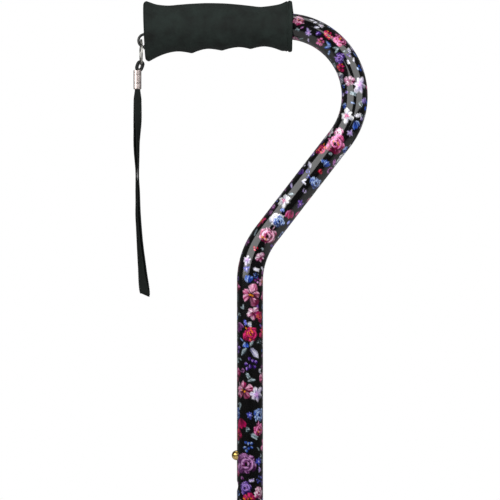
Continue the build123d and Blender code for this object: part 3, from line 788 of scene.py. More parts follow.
def build_upper_tube(settings):
    """The bent tube with its height holes, its bore and its print."""
    holes, pitch = settings.hole_count, settings.hole_pitch / MM
    hole_r = settings.hole_diameter / MM / 2
    # the bore has fewer sides than the outside, so its flats and not its corners lie on the true circle
    bore_r = (TUBE_R - settings.tube_wall / MM) / cos(pi / BORE_COLUMNS)
    top_s = SHAFT_END - (BUTTON_Z - TUBE_LOW[2])
    step = pitch / HOLE_ROWS
    hole_s = [top_s + k * pitch for k in range(holes)]
    fine_rows = int((top_s - LIP_S + 3) / step / 3) * 3
    end_rows = int((SHAFT_END - hole_s[-1]) / step)
    fine = top_s + step * np.arange(-fine_rows, (holes - 1) * HOLE_ROWS + end_rows)
    coarse = np.linspace(0, fine[0], BEND_ROWS, endpoint=False)
    rows_s = np.concatenate([coarse, fine, [SHAFT_END]])
    bore_s = np.concatenate([coarse, fine[::3], [SHAFT_END]])
    outer, faces, outer_loops, angle = shell(rows_s, COLUMNS, TUBE_R, hole_s, hole_r, HOLE_HALF, 2)
    inner, inner_faces, inner_loops, _ = shell(bore_s, BORE_COLUMNS, bore_r, hole_s, hole_r,
                                               HOLE_HALF // 3, 1)
    printed, start = len(faces), len(outer)
    faces += [[start + i for i in face] for face in inner_faces]
    for end, bore_end in ((0, 0), (len(rows_s) - 1, len(bore_s) - 1)):
        outer_loops.append([end * COLUMNS + j for j in range(COLUMNS)])
        inner_loops.append([bore_end * BORE_COLUMNS + j for j in range(BORE_COLUMNS)])
    for loop, inner_loop in zip(outer_loops, inner_loops):
        faces += bridge(loop, [start + i for i in inner_loop])
    shade = [int(k >= printed) for k in range(len(faces))]
    ink = Print(rows_s - LIP_S, angle, np.random.default_rng(settings.print_seed))
    print_flowers(ink, settings)
    tube = make_piece("flowered_tube", np.concatenate([outer, inner]), faces,
                      [print_material(), bare_aluminium()], 40.0, shade)
    colour = np.zeros((start + len(inner), 4), np.float32)
    colour[:, 3] = 1.0
    colour[:start, :3] = ink.colour.reshape(-1, 3)
    tube.data.attributes.new("print", "FLOAT_COLOR", "POINT").data.foreach_set("color", colour.ravel())
    place_piece(tube, "upper_shaft", "flower_print", "upper_tube")


# ---- The hand grip ----

# how far the grip reaches above its axis and to each side, by its place along X
GRIP_TOP = [
    (-89, 22.2), (-84, 20.3), (-77.5, 18.2), (-69, 17.4), (-60, 18.1), (-50, 18.9), (-35, 19.5), (-24, 19.3),
    (-10, 18.3), (0, 17.2), (9, 16.3), (13.5, 16.7), (20, 17.6), (26, 18.9), (29, 20.2), (33, 21.3),
    (35.5, 21.5),
]
GRIP_SIDE = [
    (-89, 20.8), (-84, 20.2), (-77, 18.7), (-69, 17.7), (-60, 17.3), (-48, 17.5), (-35, 17.0), (-10, 16.4),
    (0, 16.6), (11, 16.0), (20, 16.8), (27, 18.3), (32, 19.8), (35.5, 20.2),
]
# and how far it reaches below, at the crests and in the hollows between them
FINGER_RIDGES = [(-86.5, 30.0), (-48.8, 22.9), (-23.6, 20.6), (0.5, 19.3), (26.5, 20.8)]
FINGER_HOLLOWS = [(-60.5, 21.2), (-35.0, 19.0), (-9.0, 17.6), (12, 17.0)]
GRIP_RINGS = 220
GRIP_COLUMNS = 96
GRIP_LEAN = 0.036           # the closed end leans out at its top, by this share of the height
LIP_BEADS = (30.6, 32.8)    # two fine raised lines round the open end, with a groove between them
BEAD_HEIGHT, BEAD_HALF = 0.4, 0.55
GROOVE_DEPTH, GROOVE_HALF = 0.35, 0.7
LIP_EDGE = 1.6              # radius of the edge round the open end
CAP_WIDTH = 15.0            # how far in from the edge the closed end is ruled flat
CAP_SHARES = (0.12, 0.35, 0.6, 0.8, 0.93)
POCKET_GAP = 0.05           # between the grip's bore and the tube in it


def grip_underside(x):
    """How far the grip reaches below the axis: soft ridges between the fingers' hollows."""
    below = np.zeros_like(x)
    ends = sorted(FINGER_RIDGES + FINGER_HOLLOWS)
    for (x0, b0), (x1, b1) in zip(ends, ends[1:]):
        on = (x >= x0) & (x <= x1)
        hollow, ridge = ((x0, b0), (x1, b1)) if b0 < b1 else ((x1, b1), (x0, b0))
        t = np.abs(x[on] - hollow[0]) / (x1 - x0)
        below[on] = hollow[1] + (ridge[1] - hollow[1]) * t ** 1.7
    below[x < ends[0][0]] = ends[0][1]
    lip = x > ends[-1][0]
    below[lip] = ends[-1][1] + 1.1 * ease(x[lip], 30.0, 35.0)
    rings_averaged = 7
    kernel = np.hanning(rings_averaged + 2)[1:-1]
    return np.convolve(np.pad(below, rings_averaged // 2, mode="edge"), kernel / kernel.sum(), mode="valid")


def grip_section(x, above, below, side, shrink=0.0):
    """One ring round the grip: half ellipses above and below its axis, pulled in by shrink."""
    angle = full_turn(GRIP_COLUMNS)
    height = np.where(np.cos(angle) > 0, above - shrink, below - shrink) * np.cos(angle)
    lean = GRIP_LEAN * (1 - ease(x, -88.0, -68.0))
    return np.stack([x - lean * height, (side - shrink) * np.sin(angle), AXIS_Z + height], -1)


def build_grip(settings):
    """The moulded grip: its closed end, its outside, its lip, and its bore back to the tube's end."""
    edge_r = settings.end_rounding / MM
    closed_x = box_mm("hand_grip")[0][0] + 0.2
    x = np.linspace(closed_x + edge_r, LIP_X - LIP_EDGE, GRIP_RINGS)
    beads = sum(BEAD_HEIGHT * np.exp(-((x - place) / BEAD_HALF) ** 2) for place in LIP_BEADS)
    raised = beads - GROOVE_DEPTH * np.exp(-((x - sum(LIP_BEADS) / 2) / GROOVE_HALF) ** 2)
    outline = [reach + raised for reach in (smooth_through(GRIP_TOP, x), grip_underside(x),
                                            smooth_through(GRIP_SIDE, x))]
    closed, lip = [reach[0] for reach in outline], [reach[-1] for reach in outline]
    turns = np.linspace(0, pi / 2, 8)
    rings = [grip_section(closed_x, *closed, edge_r + (1 - share) * CAP_WIDTH) for share in CAP_SHARES]
    rings += [grip_section(closed_x + edge_r * (1 - cos(turn)), *closed, edge_r * (1 - sin(turn)))
              for turn in turns[:-1]]
    rings += [grip_section(*values) for values in zip(x, *outline)]
    rings += [grip_section(LIP_X - LIP_EDGE * (1 - sin(turn)), *lip, LIP_EDGE * (1 - cos(turn)))
              for turn in turns[1:]]
    rings += [on_shaft(np.full(GRIP_COLUMNS, s), pi / 2 - full_turn(GRIP_COLUMNS), TUBE_R + POCKET_GAP)
              for s in np.linspace(LIP_S, 0.0, 40)]
    grip = make_piece("hand_grip_rubber", *through_rings(rings), [grip_material(settings)], 50.0)
    place_piece(grip, "upper_shaft", "grip_rubber", "hand_grip")


# ---- The wrist strap and its hardware ----

# How the doubled tape hangs below the ferrule: down, its middle across to +X, and how far it has
# turned about its own length, in degrees.
STRAP_HANG = [
    (0, 0.1, 0), (15, 0.1, 12), (27, 0.1, 36), (36, -0.3, 57), (45, -0.8, 69), (55, -0.6, 77), (66, -0.2, 87),
    (76, -0.1, 95), (86, 0.2, 105), (96, 0.4, 107), (106, 0.5, 107), (116, 1.2, 109), (126, 1.8, 114),
    (136, 2.6, 124), (146, 3.6, 137), (156, 4.5, 146), (165, 5.4, 162), (172.6, 6.4, 178),
]
RUN_APART = 1.17            # half the distance between the tape's two runs
TIGHT_APART = 0.82          # the same where the tape is seen edge on
FOLD_APART = 2.2            # the same just above the fold
TIGHTENS, LOOSENS = (55.0, 64.0), (96.0, 105.0)     # how far down the runs close up and part again
FOLD_PARTS = (140.0, 170.0)                         # and where they part for the fold
FOLD_TILTS, FOLD_SPREADS = (148.0, 172.0), (150.0, 172.0)
FOLD_TILT = radians(26)     # the fold hangs aslant
PICK_LENGTH = 1.5           # from one raised pick of the weave to the next
TAPE_RING_STEP = 0.45       # from one ring of points to the next


def route_line(points, name):
    """Points along the smooth curve that a list of places makes, in millimetres."""
    curve = bpy.data.curves.new(name, "CURVE")
    curve.dimensions = "3D"
    curve.resolution_u = 24
    spline = curve.splines.new("NURBS")
    spline.points.add(len(points) - 1)
    for knot, place in zip(spline.points, points):
        knot.co = (*[value * MM for value in place], 1.0)
    spline.order_u = 3
    spline.use_endpoint_u = True
    holder = bpy.data.objects.new(name, curve)
    bpy.context.scene.collection.objects.link(holder)
    bpy.context.view_layer.update()
    mesh = bpy.data.meshes.new_from_object(holder)
    line = np.array([v.co for v in mesh.vertices]) / MM
    bpy.data.objects.remove(holder)
    bpy.data.curves.remove(curve)
    bpy.data.meshes.remove(mesh)
    return line


def spaced(line, step):
    """The same line with its points a step apart."""
    length = np.concatenate([[0], np.cumsum(np.linalg.norm(np.diff(line, axis=0), axis=1))])
    count = max(int(round(length[-1] / step)), 2)
    places = np.linspace(0, length[-1], count + 1)
    return np.stack([np.interp(places, length, line[:, k]) for k in range(3)], -1), places


def tape_section(width, thick, places):
    """Across and out offsets of a flat braid's outline, with its picks raised, for each place along it."""
    angle = full_turn(30)
    across = width / 2 * squarish(np.cos(angle), 0.55)
    out = thick / 2 * squarish(np.sin(angle), 0.45)
    pick = places[:, None] / PICK_LENGTH
    lift = 0.11 * np.cos(tau * (pick + 0.55 * np.abs(across))) * squarish(np.sin(angle), 0.4)
    scallop = 0.16 * np.cos(tau * pick) * (np.abs(across) > 0.42 * width)
    return across + np.sign(across) * scallop, out + lift


def build_strap(settings):
    """The doubled tape, with the ferrule and the cord eye that hang with it."""
    width, thick = settings.tape_width / MM, settings.tape_thickness / MM
    low, high = box_mm("strap_ferrule")
    top = low[2]
    middle_x = (low[0] + high[0]) / 2
    near, far = [], []
    for down, across, turned_by in STRAP_HANG:
        tight = ease(down, *TIGHTENS) - ease(down, *LOOSENS)
        parting = ease(down, *FOLD_PARTS)
        apart = RUN_APART + (TIGHT_APART - RUN_APART) * tight + (FOLD_APART - RUN_APART) * parting
        aside, back = apart * sin(radians(turned_by)), -apart * cos(radians(turned_by))
        near.append((middle_x + across + aside, back, top - down))
        far.append((middle_x + across - aside, -back, top - down))
    centres, places = spaced(route_line(near + far[::-1], "strap route"), TAPE_RING_STEP)
    tangent = unit(np.gradient(centres, axis=0))
    down = top - centres[:, 2]
    knots_down, _, knots_turned = zip(*STRAP_HANG)
    twist = np.radians(np.interp(down, knots_down, knots_turned))
    tilt = FOLD_TILT * ease(down, *FOLD_TILTS)
    across = np.stack([np.cos(twist) * np.cos(tilt), np.sin(twist), np.sin(tilt)], -1)
    across = unit(across - np.sum(across * tangent, -1, keepdims=True) * tangent)
    # the crimp gathers the tape where it goes into the ferrule, and the fold spreads it
    gather = 0.72 + 0.28 * ease(np.minimum(places, places[-1] - places), 0.0, 9.0)
    gather = gather * (1 + 0.25 * ease(down, *FOLD_SPREADS))
    sideways, outwards = tape_section(width, thick, places)
    points, faces = swept(centres, sideways * gather[:, None], across, outwards, np.cross(tangent, across))
    strap = make_piece("woven_strap", points, faces, [tape_material(settings)], 60.0)
    place_piece(strap, "wrist_strap", "strap_tape", "wrist_strap")
    ferrule = build_ferrule(low, high)
    eye = build_cord_eye(settings)


FERRULE_HALF = 60           # points across each face of the ferrule's outline
FERRULE_CORNER = 3.2        # power of its rounded-box outline
FERRULE_WALL = 0.10         # as a share of its size
FERRULE_RIM = 0.25          # radius of the rolled rim at each end
FERRULE_MOUTH = 1.4         # how far in each open end can be seen
SEAM_X, SEAM_HALF = -0.2, 0.45
DENT_Z = 3.6                # the crimping jaws' marks, above and below the middle


def build_ferrule(low, high):
    """A crimped strip: two lobes pressed in along a seam, with an open, rolled rim at each end."""
    middle = (low + high) / 2
    half_x, half_y, half_z = (high - low) / 2
    sweep = np.linspace(-pi / 2, pi / 2, FERRULE_HALF, endpoint=False)
    x = half_x * np.concatenate([np.sin(sweep), -np.sin(sweep)])
    columns = len(x)
    front = np.arange(columns) < FERRULE_HALF
    y = (1 - np.minimum(np.abs(x / half_x), 1.0) ** FERRULE_CORNER) ** (1 / FERRULE_CORNER)
    y = half_y * y * np.where(front, -1, 1)
    # the half to the left of the seam slopes back, and the half to the right is nearly flat
    y = np.where(front & (x > 0) & (x < half_x - 0.6), 0.012 * x * x - half_y, y)
    y = y + 0.28 * np.clip(SEAM_X - x, 0.0, None) * front - 0.25 * np.exp(-(x / 1.1) ** 2) * ~front
    y = y + 0.9 * np.exp(-((x - SEAM_X) / 0.24) ** 2) * front
    outline = np.stack([x, y], -1)

    def ring(z, scale, pinch=0.0):
        pressed = outline * scale * (1, 1 - pinch)
        return np.concatenate([pressed + middle[:2], np.full((columns, 1), middle[2] + z)], 1)

    rolled = [(half_z - FERRULE_RIM, 1.0), (half_z, 1 - FERRULE_WALL),
              (half_z - FERRULE_RIM, 1 - 2 * FERRULE_WALL), (half_z - FERRULE_MOUTH, 1 - 2.4 * FERRULE_WALL)]
    rings = [ring(-z, scale) for z, scale in reversed(rolled)]
    for z in np.linspace(-half_z + 2 * FERRULE_RIM, half_z - 2 * FERRULE_RIM, 40):
        dent = 0.05 * sum(np.exp(-((z - place) / 0.8) ** 2) for place in (-DENT_Z, DENT_Z))
        rings.append(ring(z, 1.0, dent))
    rings += [ring(z, scale) for z, scale in rolled]
    points, faces = through_rings(rings)
    in_seam = (np.abs(x - SEAM_X) < SEAM_HALF) & front
    shade = [int(all(in_seam[i % columns] for i in face)) for face in faces]
    ferrule = make_piece("crimped_ferrule", points, faces, [nickel_material(), seam_material()], 50.0, shade)
    return place_piece(ferrule, "wrist_strap", "ferrule_nickel", "strap_ferrule")


CORD_LEAN = radians(20)     # how far the cord's loop leans from upright
CORD_OUTER_HALF = 3.65      # half the loop's width over its cord
CORD_SHIFT = -0.6           # of the loop, along X
ACROSS_Y = np.array([[0.0, 1.0, 0.0]])


def build_cord_eye(settings):
    """The small loop of braided cord between the ferrule and the ring."""
    low, high = box_mm("strap_cord_eye")
    cord_r = settings.cord_diameter / MM / 2
    width = CORD_OUTER_HALF - cord_r
    straight = (high[2] - low[2] - 2 * cord_r) / cos(CORD_LEAN) / 2 - width
    turn = np.linspace(0, tau, 140, endpoint=False)
    u = width * np.sin(turn)
    v = width * np.cos(turn) + straight * np.tanh(4 * np.cos(turn))
    middle = (low + high) / 2 + (CORD_SHIFT, 0.0, 0.0)
    centres = np.stack([middle[0] + u * cos(CORD_LEAN) + v * sin(CORD_LEAN), np.full_like(u, middle[1]),
                        middle[2] - u * sin(CORD_LEAN) + v * cos(CORD_LEAN)], -1)
    tangent = unit(np.roll(centres, -1, 0) - np.roll(centres, 1, 0))
    angle = full_turn(24)
    strands, twists = 6, 18
    place = full_turn(len(centres))[:, None] * twists
    braid = cord_r * (0.93 + 0.07 * np.cos(strands * angle + place) * np.cos(strands * angle - place))
    points, faces = swept(centres, braid * np.cos(angle), np.cross(tangent, ACROSS_Y),
                          braid * np.sin(angle), ACROSS_Y, closed=True)
    eye = make_piece("cord_eye", points, faces, [cord_material()], 70.0)
    return place_piece(eye, "wrist_strap", "strap_tape", "strap_cord_eye")


RING_FACING = radians(7)    # how far the ring's axis is turned from X
WIRE_FLATNESS = 0.38        # the wire's thickness as a share of its height
TURNS_APART = 0.80          # how far the ring's two turns lie apart, as a share of half the wire's height


def build_split_ring(settings):
    """Two turns of flattened spring wire, side by side, with a short crossing between them."""
    low, high = box_mm("split_ring")
    wire_r = settings.ring_wire / MM / 2
    turn = np.linspace(radians(4), 2 * tau - radians(4), 400)
    shift = (ease(turn, tau - radians(22), tau + radians(22)) - 0.5) * TURNS_APART * wire_r
    axis = np.array([[cos(RING_FACING), sin(RING_FACING), 0.0]])
    across = np.array([-sin(RING_FACING), cos(RING_FACING), 0.0])
    radial = np.cos(turn + 0.6)[:, None] * across + np.sin(turn + 0.6)[:, None] * (0.0, 0.0, 1.0)
    centres = (low + high) / 2 + ((high[2] - low[2]) / 2 - wire_r) * radial + shift[:, None] * axis
    angle = full_turn(14)
    flat = WIRE_FLATNESS * wire_r * squarish(np.cos(angle), 0.7)
    tall = wire_r * squarish(np.sin(angle), 0.7)
    points, faces = swept(centres, flat[None], axis, tall[None], radial)
    ring = make_piece("split_ring_wire", points, faces, [ring_material()], 50.0)
    place_piece(ring, "split_ring", "ring_steel", "split_ring")


def build_eyelet(settings):
    """The nylon loop in the grip's end wall, with a small boss where each leg goes in."""
    low, high = box_mm("strap_eyelet")
    middle = (low + high) / 2
    rod_r = settings.eyelet_rod / MM / 2
    radius = (high[2] - low[2]) / 2 - rod_r
    turn = np.linspace(0, tau, 96, endpoint=False)
    angle = full_turn(20)
    radial = np.stack([np.cos(turn), np.zeros_like(turn), np.sin(turn)], -1)
    out, aside = radius + rod_r * np.cos(angle), rod_r * np.sin(angle)
    loop = swept(middle[None], out[None], radial, aside[None], ACROSS_Y, closed=True)
    boss_x = box_mm("hand_grip")[0][0] + 0.9
    profile = [(0.01, 0.0), (rod_r + 0.9, 0.0), (rod_r + 0.9, 0.7), (rod_r + 0.5, 1.2), (0.01, 1.25)]
    ring = turned(profile, 24)
    bosses = []
    for leg_z in (middle[2] - radius, middle[2] + radius):
        boss = np.stack([boss_x - ring[..., 2], ring[..., 0], leg_z + ring[..., 1]], -1)
        bosses.append(through_rings(boss))
    eyelet = make_piece("nylon_eyelet", *joined(loop, *bosses), [nylon_material()], 45.0)
    place_piece(eyelet, "upper_shaft", "eyelet_nylon", "strap_eyelet")


# ---- Geometry nodes for what repeats ----

def node_tree(name, inputs):
    """A geometry tree with a mesh in, a mesh out and named inputs; what comes in, and where it goes out."""
    tree = bpy.data.node_groups.new(name, "GeometryNodeTree")
    tree.interface.new_socket("Geometry", in_out="INPUT", socket_type="NodeSocketGeometry")
    tree.interface.new_socket("Geometry", in_out="OUTPUT", socket_type="NodeSocketGeometry")
    for label, kind in inputs:
        tree.interface.new_socket(label, in_out="INPUT", socket_type=kind)
    return tree, add(tree, "NodeGroupInput").outputs, add(tree, "NodeGroupOutput")


def apply_tree(piece, tree, values, sharp=35.0):
    """Runs a geometry tree on a piece with its inputs set, and keeps the result as its plain mesh."""
    modifier = piece.modifiers.new(tree.name, "NODES")
    modifier.node_group = tree
    sockets = {item.name: item.identifier for item in tree.interface.items_tree if item.in_out == "INPUT"}
    for label, value in values.items():
        modifier[sockets[label]] = value
    piece.update_tag()
    bpy.context.view_layer.update()
    evaluated = piece.evaluated_get(bpy.context.evaluated_depsgraph_get())
    mesh = bpy.data.meshes.new_from_object(evaluated)
    mesh.name = piece.name
    piece.modifiers.remove(modifier)
    piece.data = mesh
    finish_mesh(mesh, sharp)
    return piece


def on_ring(tree, count, radius, offset, instance):
    """A mesh set at each point round a ring, as real geometry."""
    ring = add(tree, "GeometryNodeMeshCircle", {"Vertices": count, "Radius": radius})
    moved = add(tree, "GeometryNodeSetPosition", {"Geometry": ring.outputs["Mesh"], "Offset": offset})
    placed = add(tree, "GeometryNodeInstanceOnPoints",
                 {"Points": moved.outputs["Geometry"], "Instance": instance})
    real = add(tree, "GeometryNodeRealizeInstances", {"Geometry": placed.outputs["Instances"]})
    return real.outputs["Geometry"]


def end_tree(tree, given, result, *parts):
    """Joins what comes in with the new parts, all in one material."""
    both = add(tree, "GeometryNodeJoinGeometry")
    for part in (given["Geometry"], *parts):
        tree.links.new(part, both.inputs["Geometry"])
    finished = add(tree, "GeometryNodeSetMaterial", {"Geometry": both.outputs["Geometry"],
                                                     "Material": given["Material"]})
    tree.links.new(finished.outputs["Geometry"], result.inputs["Geometry"])
    return tree


def rib_tree():
    """Round-edged upright ribs set round a collar."""
    tree, given, result = node_tree("ribs round a collar", [
        ("Count", "NodeSocketInt"), ("Ring radius", "NodeSocketFloat"), ("Rib radius", "NodeSocketFloat"),
        ("Rib length", "NodeSocketFloat"), ("Height", "NodeSocketFloat"), ("Material", "NodeSocketMaterial")])
    lift = add(tree, "ShaderNodeCombineXYZ", {"Z": given["Height"]})
    bar = add(tree, "GeometryNodeMeshCylinder", {"Vertices": 10, "Radius": given["Rib radius"],
                                                 "Depth": given["Rib length"]})
    ribs = on_ring(tree, given["Count"], given["Ring radius"], lift.outputs["Vector"], bar.outputs["Mesh"])
    return end_tree(tree, given, result, ribs)


def build_lock_nut(settings):
    """The ribbed locking collar, closed round the sleeve."""
    low, high = box_mm("lock_nut")
    outer = (high[1] - low[1]) / 2
    rib = settings.rib_radius / MM
    body_r = outer - 0.7 * rib
    bore = box_mm("lower_tube")[1][1] + 0.35
    inside = box_mm("lock_sleeve")[1][0] - 1.4
    floor = box_mm("lock_collet")[0][2]
    top, foot = high[2], low[2]
    profile = [
        (inside, floor), (inside, top - 0.6), (inside + 0.5, top), (body_r - 0.5, top), (outer, top - 0.6),
        (outer, top - 2.6), (body_r, top - 3.2), (body_r, foot + 3.6), (outer - 0.2, foot + 3.0),
        (outer - 0.2, foot + 1.8), (outer - 2.0, foot), (bore + 0.6, foot), (bore, foot + 0.5), (bore, floor),
    ]
    points, faces = through_rings(turned(profile, 96), closed=True)
    nut = make_piece("locking_collar", points, faces, [collar_material()], 30.0)
    apply_tree(nut, rib_tree(), {
        "Count": settings.rib_count, "Ring radius": (body_r - 0.2 * rib) * MM, "Rib radius": rib * MM,
        "Rib length": (top - foot - 6.4) * MM, "Height": (foot + top) / 2 * MM,
        "Material": nut.data.materials[0]}, 40.0)
    place_piece(nut, "lock_nut", "collar_plastic", "lock_nut")


def tread_tree():
    """Studs under a rubber tip, in two rings round its middle."""
    tree, given, result = node_tree("tread of a tip", [
        ("Foot", "NodeSocketVector"), ("Stud radius", "NodeSocketFloat"), ("Stud height", "NodeSocketFloat"),
        ("Outer ring", "NodeSocketFloat"), ("Inner ring", "NodeSocketFloat"),
        ("Outer count", "NodeSocketInt"), ("Inner count", "NodeSocketInt"),
        ("Material", "NodeSocketMaterial")])
    stud = add(tree, "GeometryNodeMeshCone", {
        "Vertices": 12, "Radius Bottom": given["Stud radius"], "Radius Top": given["Stud radius"],
        "Depth": given["Stud height"]}).outputs["Mesh"]
    rings = [on_ring(tree, given[place + " count"], given[place + " ring"], given["Foot"], stud)
             for place in ("Outer", "Inner")]
    return end_tree(tree, given, result, *rings)


NECK_WALL = 2.95            # from a tip's bore to the outside of its neck
GRIP_RINGS_Z = (14.5, 18.5, 22.5)


def build_tips(settings):
    """Four flared rubber tips with grip rings round the neck and a studded sole."""
    material, tree = tip_material(), tread_tree()
    foot_x = sum(corner[0] for corner in box_mm("tip_rear_right")) / 2
    washer_low, washer_high = box_mm("tip_washers")
    bore, floor = washer_high[0] - foot_x + 0.1, washer_low[2]
    neck = bore + NECK_WALL
    for corner in ("front_left", "front_right", "rear_left", "rear_right"):
        low, high = box_mm("tip_" + corner)
        x, y = (low[:2] + high[:2]) / 2
        sole, top = (high[0] - low[0]) / 2, high[2]
        profile = [(0.02, 1.2), (sole - 3.0, 1.2), (sole - 2.4, 0.0), (sole - 0.6, 0.0), (sole, 0.7),
                   (sole, 5.0), (sole - 0.4, 6.4), (neck + 0.6, 11.5), (neck + 0.4, 12.4)]
        for z in GRIP_RINGS_Z:
            profile += [(neck - 0.5, z - 1.3), (neck + 0.3, z - 0.6), (neck + 0.45, z), (neck + 0.3, z + 0.6),
                        (neck - 0.5, z + 1.3)]
        profile += [(neck - 0.2, 25.5), (neck + 0.2, top - 4.5), (neck, top - 0.9), (neck - 0.6, top - 0.1),
                    (bore + 1.0, top), (bore + 0.05, top - 0.7), (bore + 0.05, floor), (0.02, floor)]
        tip = make_piece("rubber_tip_" + corner, *through_rings(turned(profile, 72, x, y)), [material], 30.0)
        apply_tree(tip, tree, {
            "Foot": (x * MM, y * MM, 0.65 * MM), "Stud radius": 1.1 * MM, "Stud height": 1.3 * MM,
            "Outer ring": 7.8 * MM, "Inner ring": 3.6 * MM, "Outer count": settings.stud_count,
            "Inner count": settings.stud_count // 2, "Material": material}, 30.0)
        place_piece(tip, "base", "tip_rubber", "tip_" + corner)


# ---- The stage ----

VIEW_WIDTH = 0.42065        # width of the view at the cane, in metres
VIEW_Z = 0.5518
LENS, SENSOR = 200.0, 36.0
FLOOR_R, FLOOR_THICK = 1500.0, 6.0      # in millimetres
# each softbox's place, what it points at, its width and height, all in metres, and its power's setting;
# two stand beside the camera, with their lower edges about level with the foot of the slope
SOFTBOXES = {
    "left softbox": ((-0.85, -1.05, 1.18), (0.0, 0.0, 1.18), (1.6, 1.22), "left"),
    "right softbox": ((0.94, -0.97, 1.18), (0.0, 0.0, 1.18), (1.35, 1.22), "right"),
    "top softbox": ((0.0, 0.10, 2.30), (0.0, 0.0, 0.60), (1.6, 0.8), "overhead"),
}


def build_stage(settings):
    """The camera, the studio's walls, the softboxes and the floor."""
    scene = bpy.context.scene
    camera = bpy.data.cameras.new("studio camera")
    camera.lens, camera.sensor_width, camera.clip_end = LENS, SENSOR, 100.0
    holder = bpy.data.objects.new("studio camera", camera)
    holder.location = (0.0, -VIEW_WIDTH * LENS / SENSOR, VIEW_Z)
    holder.rotation_euler = (pi / 2, 0.0, 0.0)
    scene.collection.objects.link(holder)
    scene.camera = holder
    scene.view_settings.view_transform = "Standard"
    world = bpy.data.worlds.new("white studio")
    scene.world = world
    world.use_nodes = True
    tree = world.node_tree
    tree.nodes.clear()
    seen = add(tree, "ShaderNodeBackground", {"Color": linear("#ffffff"), "Strength": 1.0})
    # the studio is dark behind the camera and a little lighter beyond the cane
    way = add(tree, "ShaderNodeTexCoord").outputs["Generated"]
    depth = add(tree, "ShaderNodeSeparateXYZ", {"Vector": way}).outputs["Y"]
    level = add(tree, "ShaderNodeMapRange", {"Value": depth, "From Min": -0.9, "From Max": 0.9,
                                             "To Min": 0.04, "To Max": settings.surround},
                interpolation_type="SMOOTHSTEP")
    lit = add(tree, "ShaderNodeBackground", {"Color": linear("#ffffff"), "Strength": level.outputs["Result"]})
    path = add(tree, "ShaderNodeLightPath")
    choice = add(tree, "ShaderNodeMixShader",
                 {0: path.outputs["Is Camera Ray"], 1: lit.outputs[0], 2: seen.outputs[0]})
    add(tree, "ShaderNodeOutputWorld", {"Surface": choice.outputs[0]})
    for name, (place, target, (width, height), power) in SOFTBOXES.items():
        light = bpy.data.lights.new(name, "AREA")
        light.shape, light.size, light.size_y = "RECTANGLE", width, height
        light.energy = getattr(settings, power)
        lamp = bpy.data.objects.new(name, light)
        lamp.location = place
        lamp.rotation_euler = (Vector(target) - Vector(place)).to_track_quat("-Z", "Y").to_euler()
        scene.collection.objects.link(lamp)
    material = grained("pale studio floor", "#e9e9e9", "#f0f0f0", 400.0, (0.6, 0.7), 40.0, 0.01)
    disc = turned([(FLOOR_R, -FLOOR_THICK), (FLOOR_R, 0.0)], 96)
    make_piece("studio_floor", *through_rings(disc), [material])


# ---- What a user can change ----

class ShaftSettings(bpy.types.PropertyGroup):
    hole_count: IntProperty(name="Height holes", description="How many heights the shaft can be set to",
                            default=7, min=1, max=10)
    hole_pitch: length_property("Hole spacing", 25.4, "Distance from one height hole to the next")
    hole_diameter: length_property("Hole diameter", 8.7, "Diameter of the height holes")
    tube_wall: length_property("Tube wall", 1.3, "Thickness of the upper tube's wall")
    fullness: FloatProperty(name="Print fullness", description="How closely flowers fill the black ground",
                            default=1.0, min=0.0, max=2.0, subtype="FACTOR")
    print_seed: IntProperty(name="Print seed", description="Changes the flowers on the far side",
                            default=11, min=0)
    rib_count: IntProperty(name="Collar ribs", description="Ribs round the locking collar", default=24, min=6)
    rib_radius: length_property("Rib radius", 0.9, "Radius of each rib on the locking collar")


class GripSettings(bpy.types.PropertyGroup):
    grip_colour: colour_property("Grip colour", "#0a0e0c", "Main colour of the rubber")
    end_rounding: length_property("End rounding", 3.0, "Radius of the closed end's edge")
    eyelet_rod: length_property("Eyelet rod", 2.2, "Thickness of the nylon loop in the end wall")


class StrapSettings(bpy.types.PropertyGroup):
    tape_width: length_property("Tape width", 6.5, "Width of the woven tape")
    tape_thickness: length_property("Tape thickness", 1.3, "Thickness of the woven tape")
    cord_diameter: length_property("Cord diameter", 3.1, "Thickness of the cord eye")
    ring_wire: length_property("Ring wire", 1.7, "Height of the split ring's flat wire")
    tape_colour: colour_property("Tape colour", "#010202", "Colour of the strap's yarn")


class BaseSettings(bpy.types.PropertyGroup):
    stud_count: IntProperty(name="Sole studs", description="Studs in the outer ring under each tip",
                            default=14, min=4)


class StageSettings(bpy.types.PropertyGroup):
    left: FloatProperty(name="Left softbox", description="Power of the softbox left of the camera",
                        default=25.0, unit="POWER")
    right: FloatProperty(name="Right softbox", description="Power of the softbox right of the camera",
                         default=20.0, unit="POWER")
    overhead: FloatProperty(name="Top softbox", description="Power of the softbox above", default=10.0,
                            unit="POWER")
    surround: FloatProperty(name="Surround", description="Brightness of the studio beyond the cane",
                            default=0.15, min=0.0)


# ---- Operators ----

class CANE_OT_stage(bpy.types.Operator):
    """Sets the camera, the soft lights and the pale floor"""
    bl_idname = "cane.stage"
    bl_label = "Studio"

    def execute(self, context):
        build_stage(context.scene.cane_stage)
        return {"FINISHED"}


class CANE_OT_strap(bpy.types.Operator):
    """Makes the woven wrist strap with its ferrule and cord eye"""
    bl_idname = "cane.strap"
    bl_label = "Wrist strap"

    def execute(self, context):
        build_strap(context.scene.cane_strap)
        return {"FINISHED"}


class CANE_OT_ring(bpy.types.Operator):
    """Makes the split ring and the eyelet that it hangs in"""
    bl_idname = "cane.ring"
    bl_label = "Ring and eyelet"

    def execute(self, context):
        build_split_ring(context.scene.cane_strap)
        build_eyelet(context.scene.cane_grip)
        return {"FINISHED"}


class CANE_OT_grip(bpy.types.Operator):
    """Makes the moulded hand grip"""
    bl_idname = "cane.grip"
    bl_label = "Hand grip"

    def execute(self, context):
        build_grip(context.scene.cane_grip)
        return {"FINISHED"}


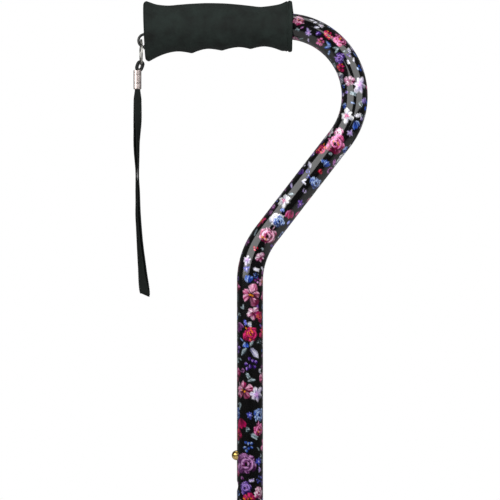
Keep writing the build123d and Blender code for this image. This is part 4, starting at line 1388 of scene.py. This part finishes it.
class CANE_OT_shaft(bpy.types.Operator):
    """Makes the flowered upper tube with its height holes"""
    bl_idname = "cane.shaft"
    bl_label = "Flowered tube"

    def execute(self, context):
        build_upper_tube(context.scene.cane_shaft)
        return {"FINISHED"}


class CANE_OT_collar(bpy.types.Operator):
    """Makes the locking collar and finishes its sleeve and collet"""
    bl_idname = "cane.collar"
    bl_label = "Locking collar"

    def execute(self, context):
        build_lock_nut(context.scene.cane_shaft)
        finish_nodes(collar_material(), "lock_sleeve")
        finish_nodes(white_nylon_material(), "lock_collet")
        return {"FINISHED"}


class CANE_OT_catch(bpy.types.Operator):
    """Finishes the inner tube and the snap catch in it"""
    bl_idname = "cane.catch"
    bl_label = "Inner tube and catch"

    def execute(self, context):
        finish_nodes(anodised_material(), "lower_tube")
        finish_nodes(white_nylon_material(), "guide_bushing")
        finish_nodes(spring_material(), "snap_spring")
        finish_nodes(brass_material(), "snap_button")
        return {"FINISHED"}


class CANE_OT_base(bpy.types.Operator):
    """Makes the rubber tips and finishes the hub, the legs and their fasteners"""
    bl_idname = "cane.base"
    bl_label = "Four-footed base"

    def execute(self, context):
        build_tips(context.scene.cane_base)
        finish_nodes(hub_material(), "base_hub")
        finish_nodes(leg_material(), "leg_tube_left", "leg_tube_right")
        finish_nodes(zinc_material(), "leg_bolts", "saddle_washers", "leg_nuts", "shaft_bolt", "shaft_nut",
                     "tip_washers")
        return {"FINISHED"}


STEPS = (CANE_OT_stage, CANE_OT_strap, CANE_OT_ring, CANE_OT_grip, CANE_OT_shaft, CANE_OT_collar,
         CANE_OT_catch, CANE_OT_base)


class CANE_PT_sidebar(bpy.types.Panel):
    """Lists the cane's pieces and their settings"""
    bl_idname = "CANE_PT_sidebar"
    bl_label = "Walking cane"
    bl_space_type = "VIEW_3D"
    bl_region_type = "UI"
    bl_category = "Cane"

    def draw(self, context):
        layout = self.layout
        for step in STEPS:
            layout.operator(step.bl_idname)
        for group in SETTINGS:
            held = getattr(context.scene, group)
            for name in SETTINGS[group].__annotations__:
                layout.prop(held, name)


SETTINGS = {"cane_shaft": ShaftSettings, "cane_grip": GripSettings, "cane_strap": StrapSettings,
            "cane_base": BaseSettings, "cane_stage": StageSettings}


def register():
    for group in SETTINGS.values():
        bpy.utils.register_class(group)
    for step in STEPS:
        bpy.utils.register_class(step)
    bpy.utils.register_class(CANE_PT_sidebar)
    for name, group in SETTINGS.items():
        setattr(bpy.types.Scene, name, PointerProperty(type=group))


def unregister():
    for name in SETTINGS:
        delattr(bpy.types.Scene, name)
    for made in (CANE_PT_sidebar, *reversed(STEPS), *SETTINGS.values()):
        bpy.utils.unregister_class(made)


def main():
    register()
    for step in STEPS:
        group, name = step.bl_idname.split(".")
        getattr(getattr(bpy.ops, group), name)()


if __name__ == "__main__":
    main()
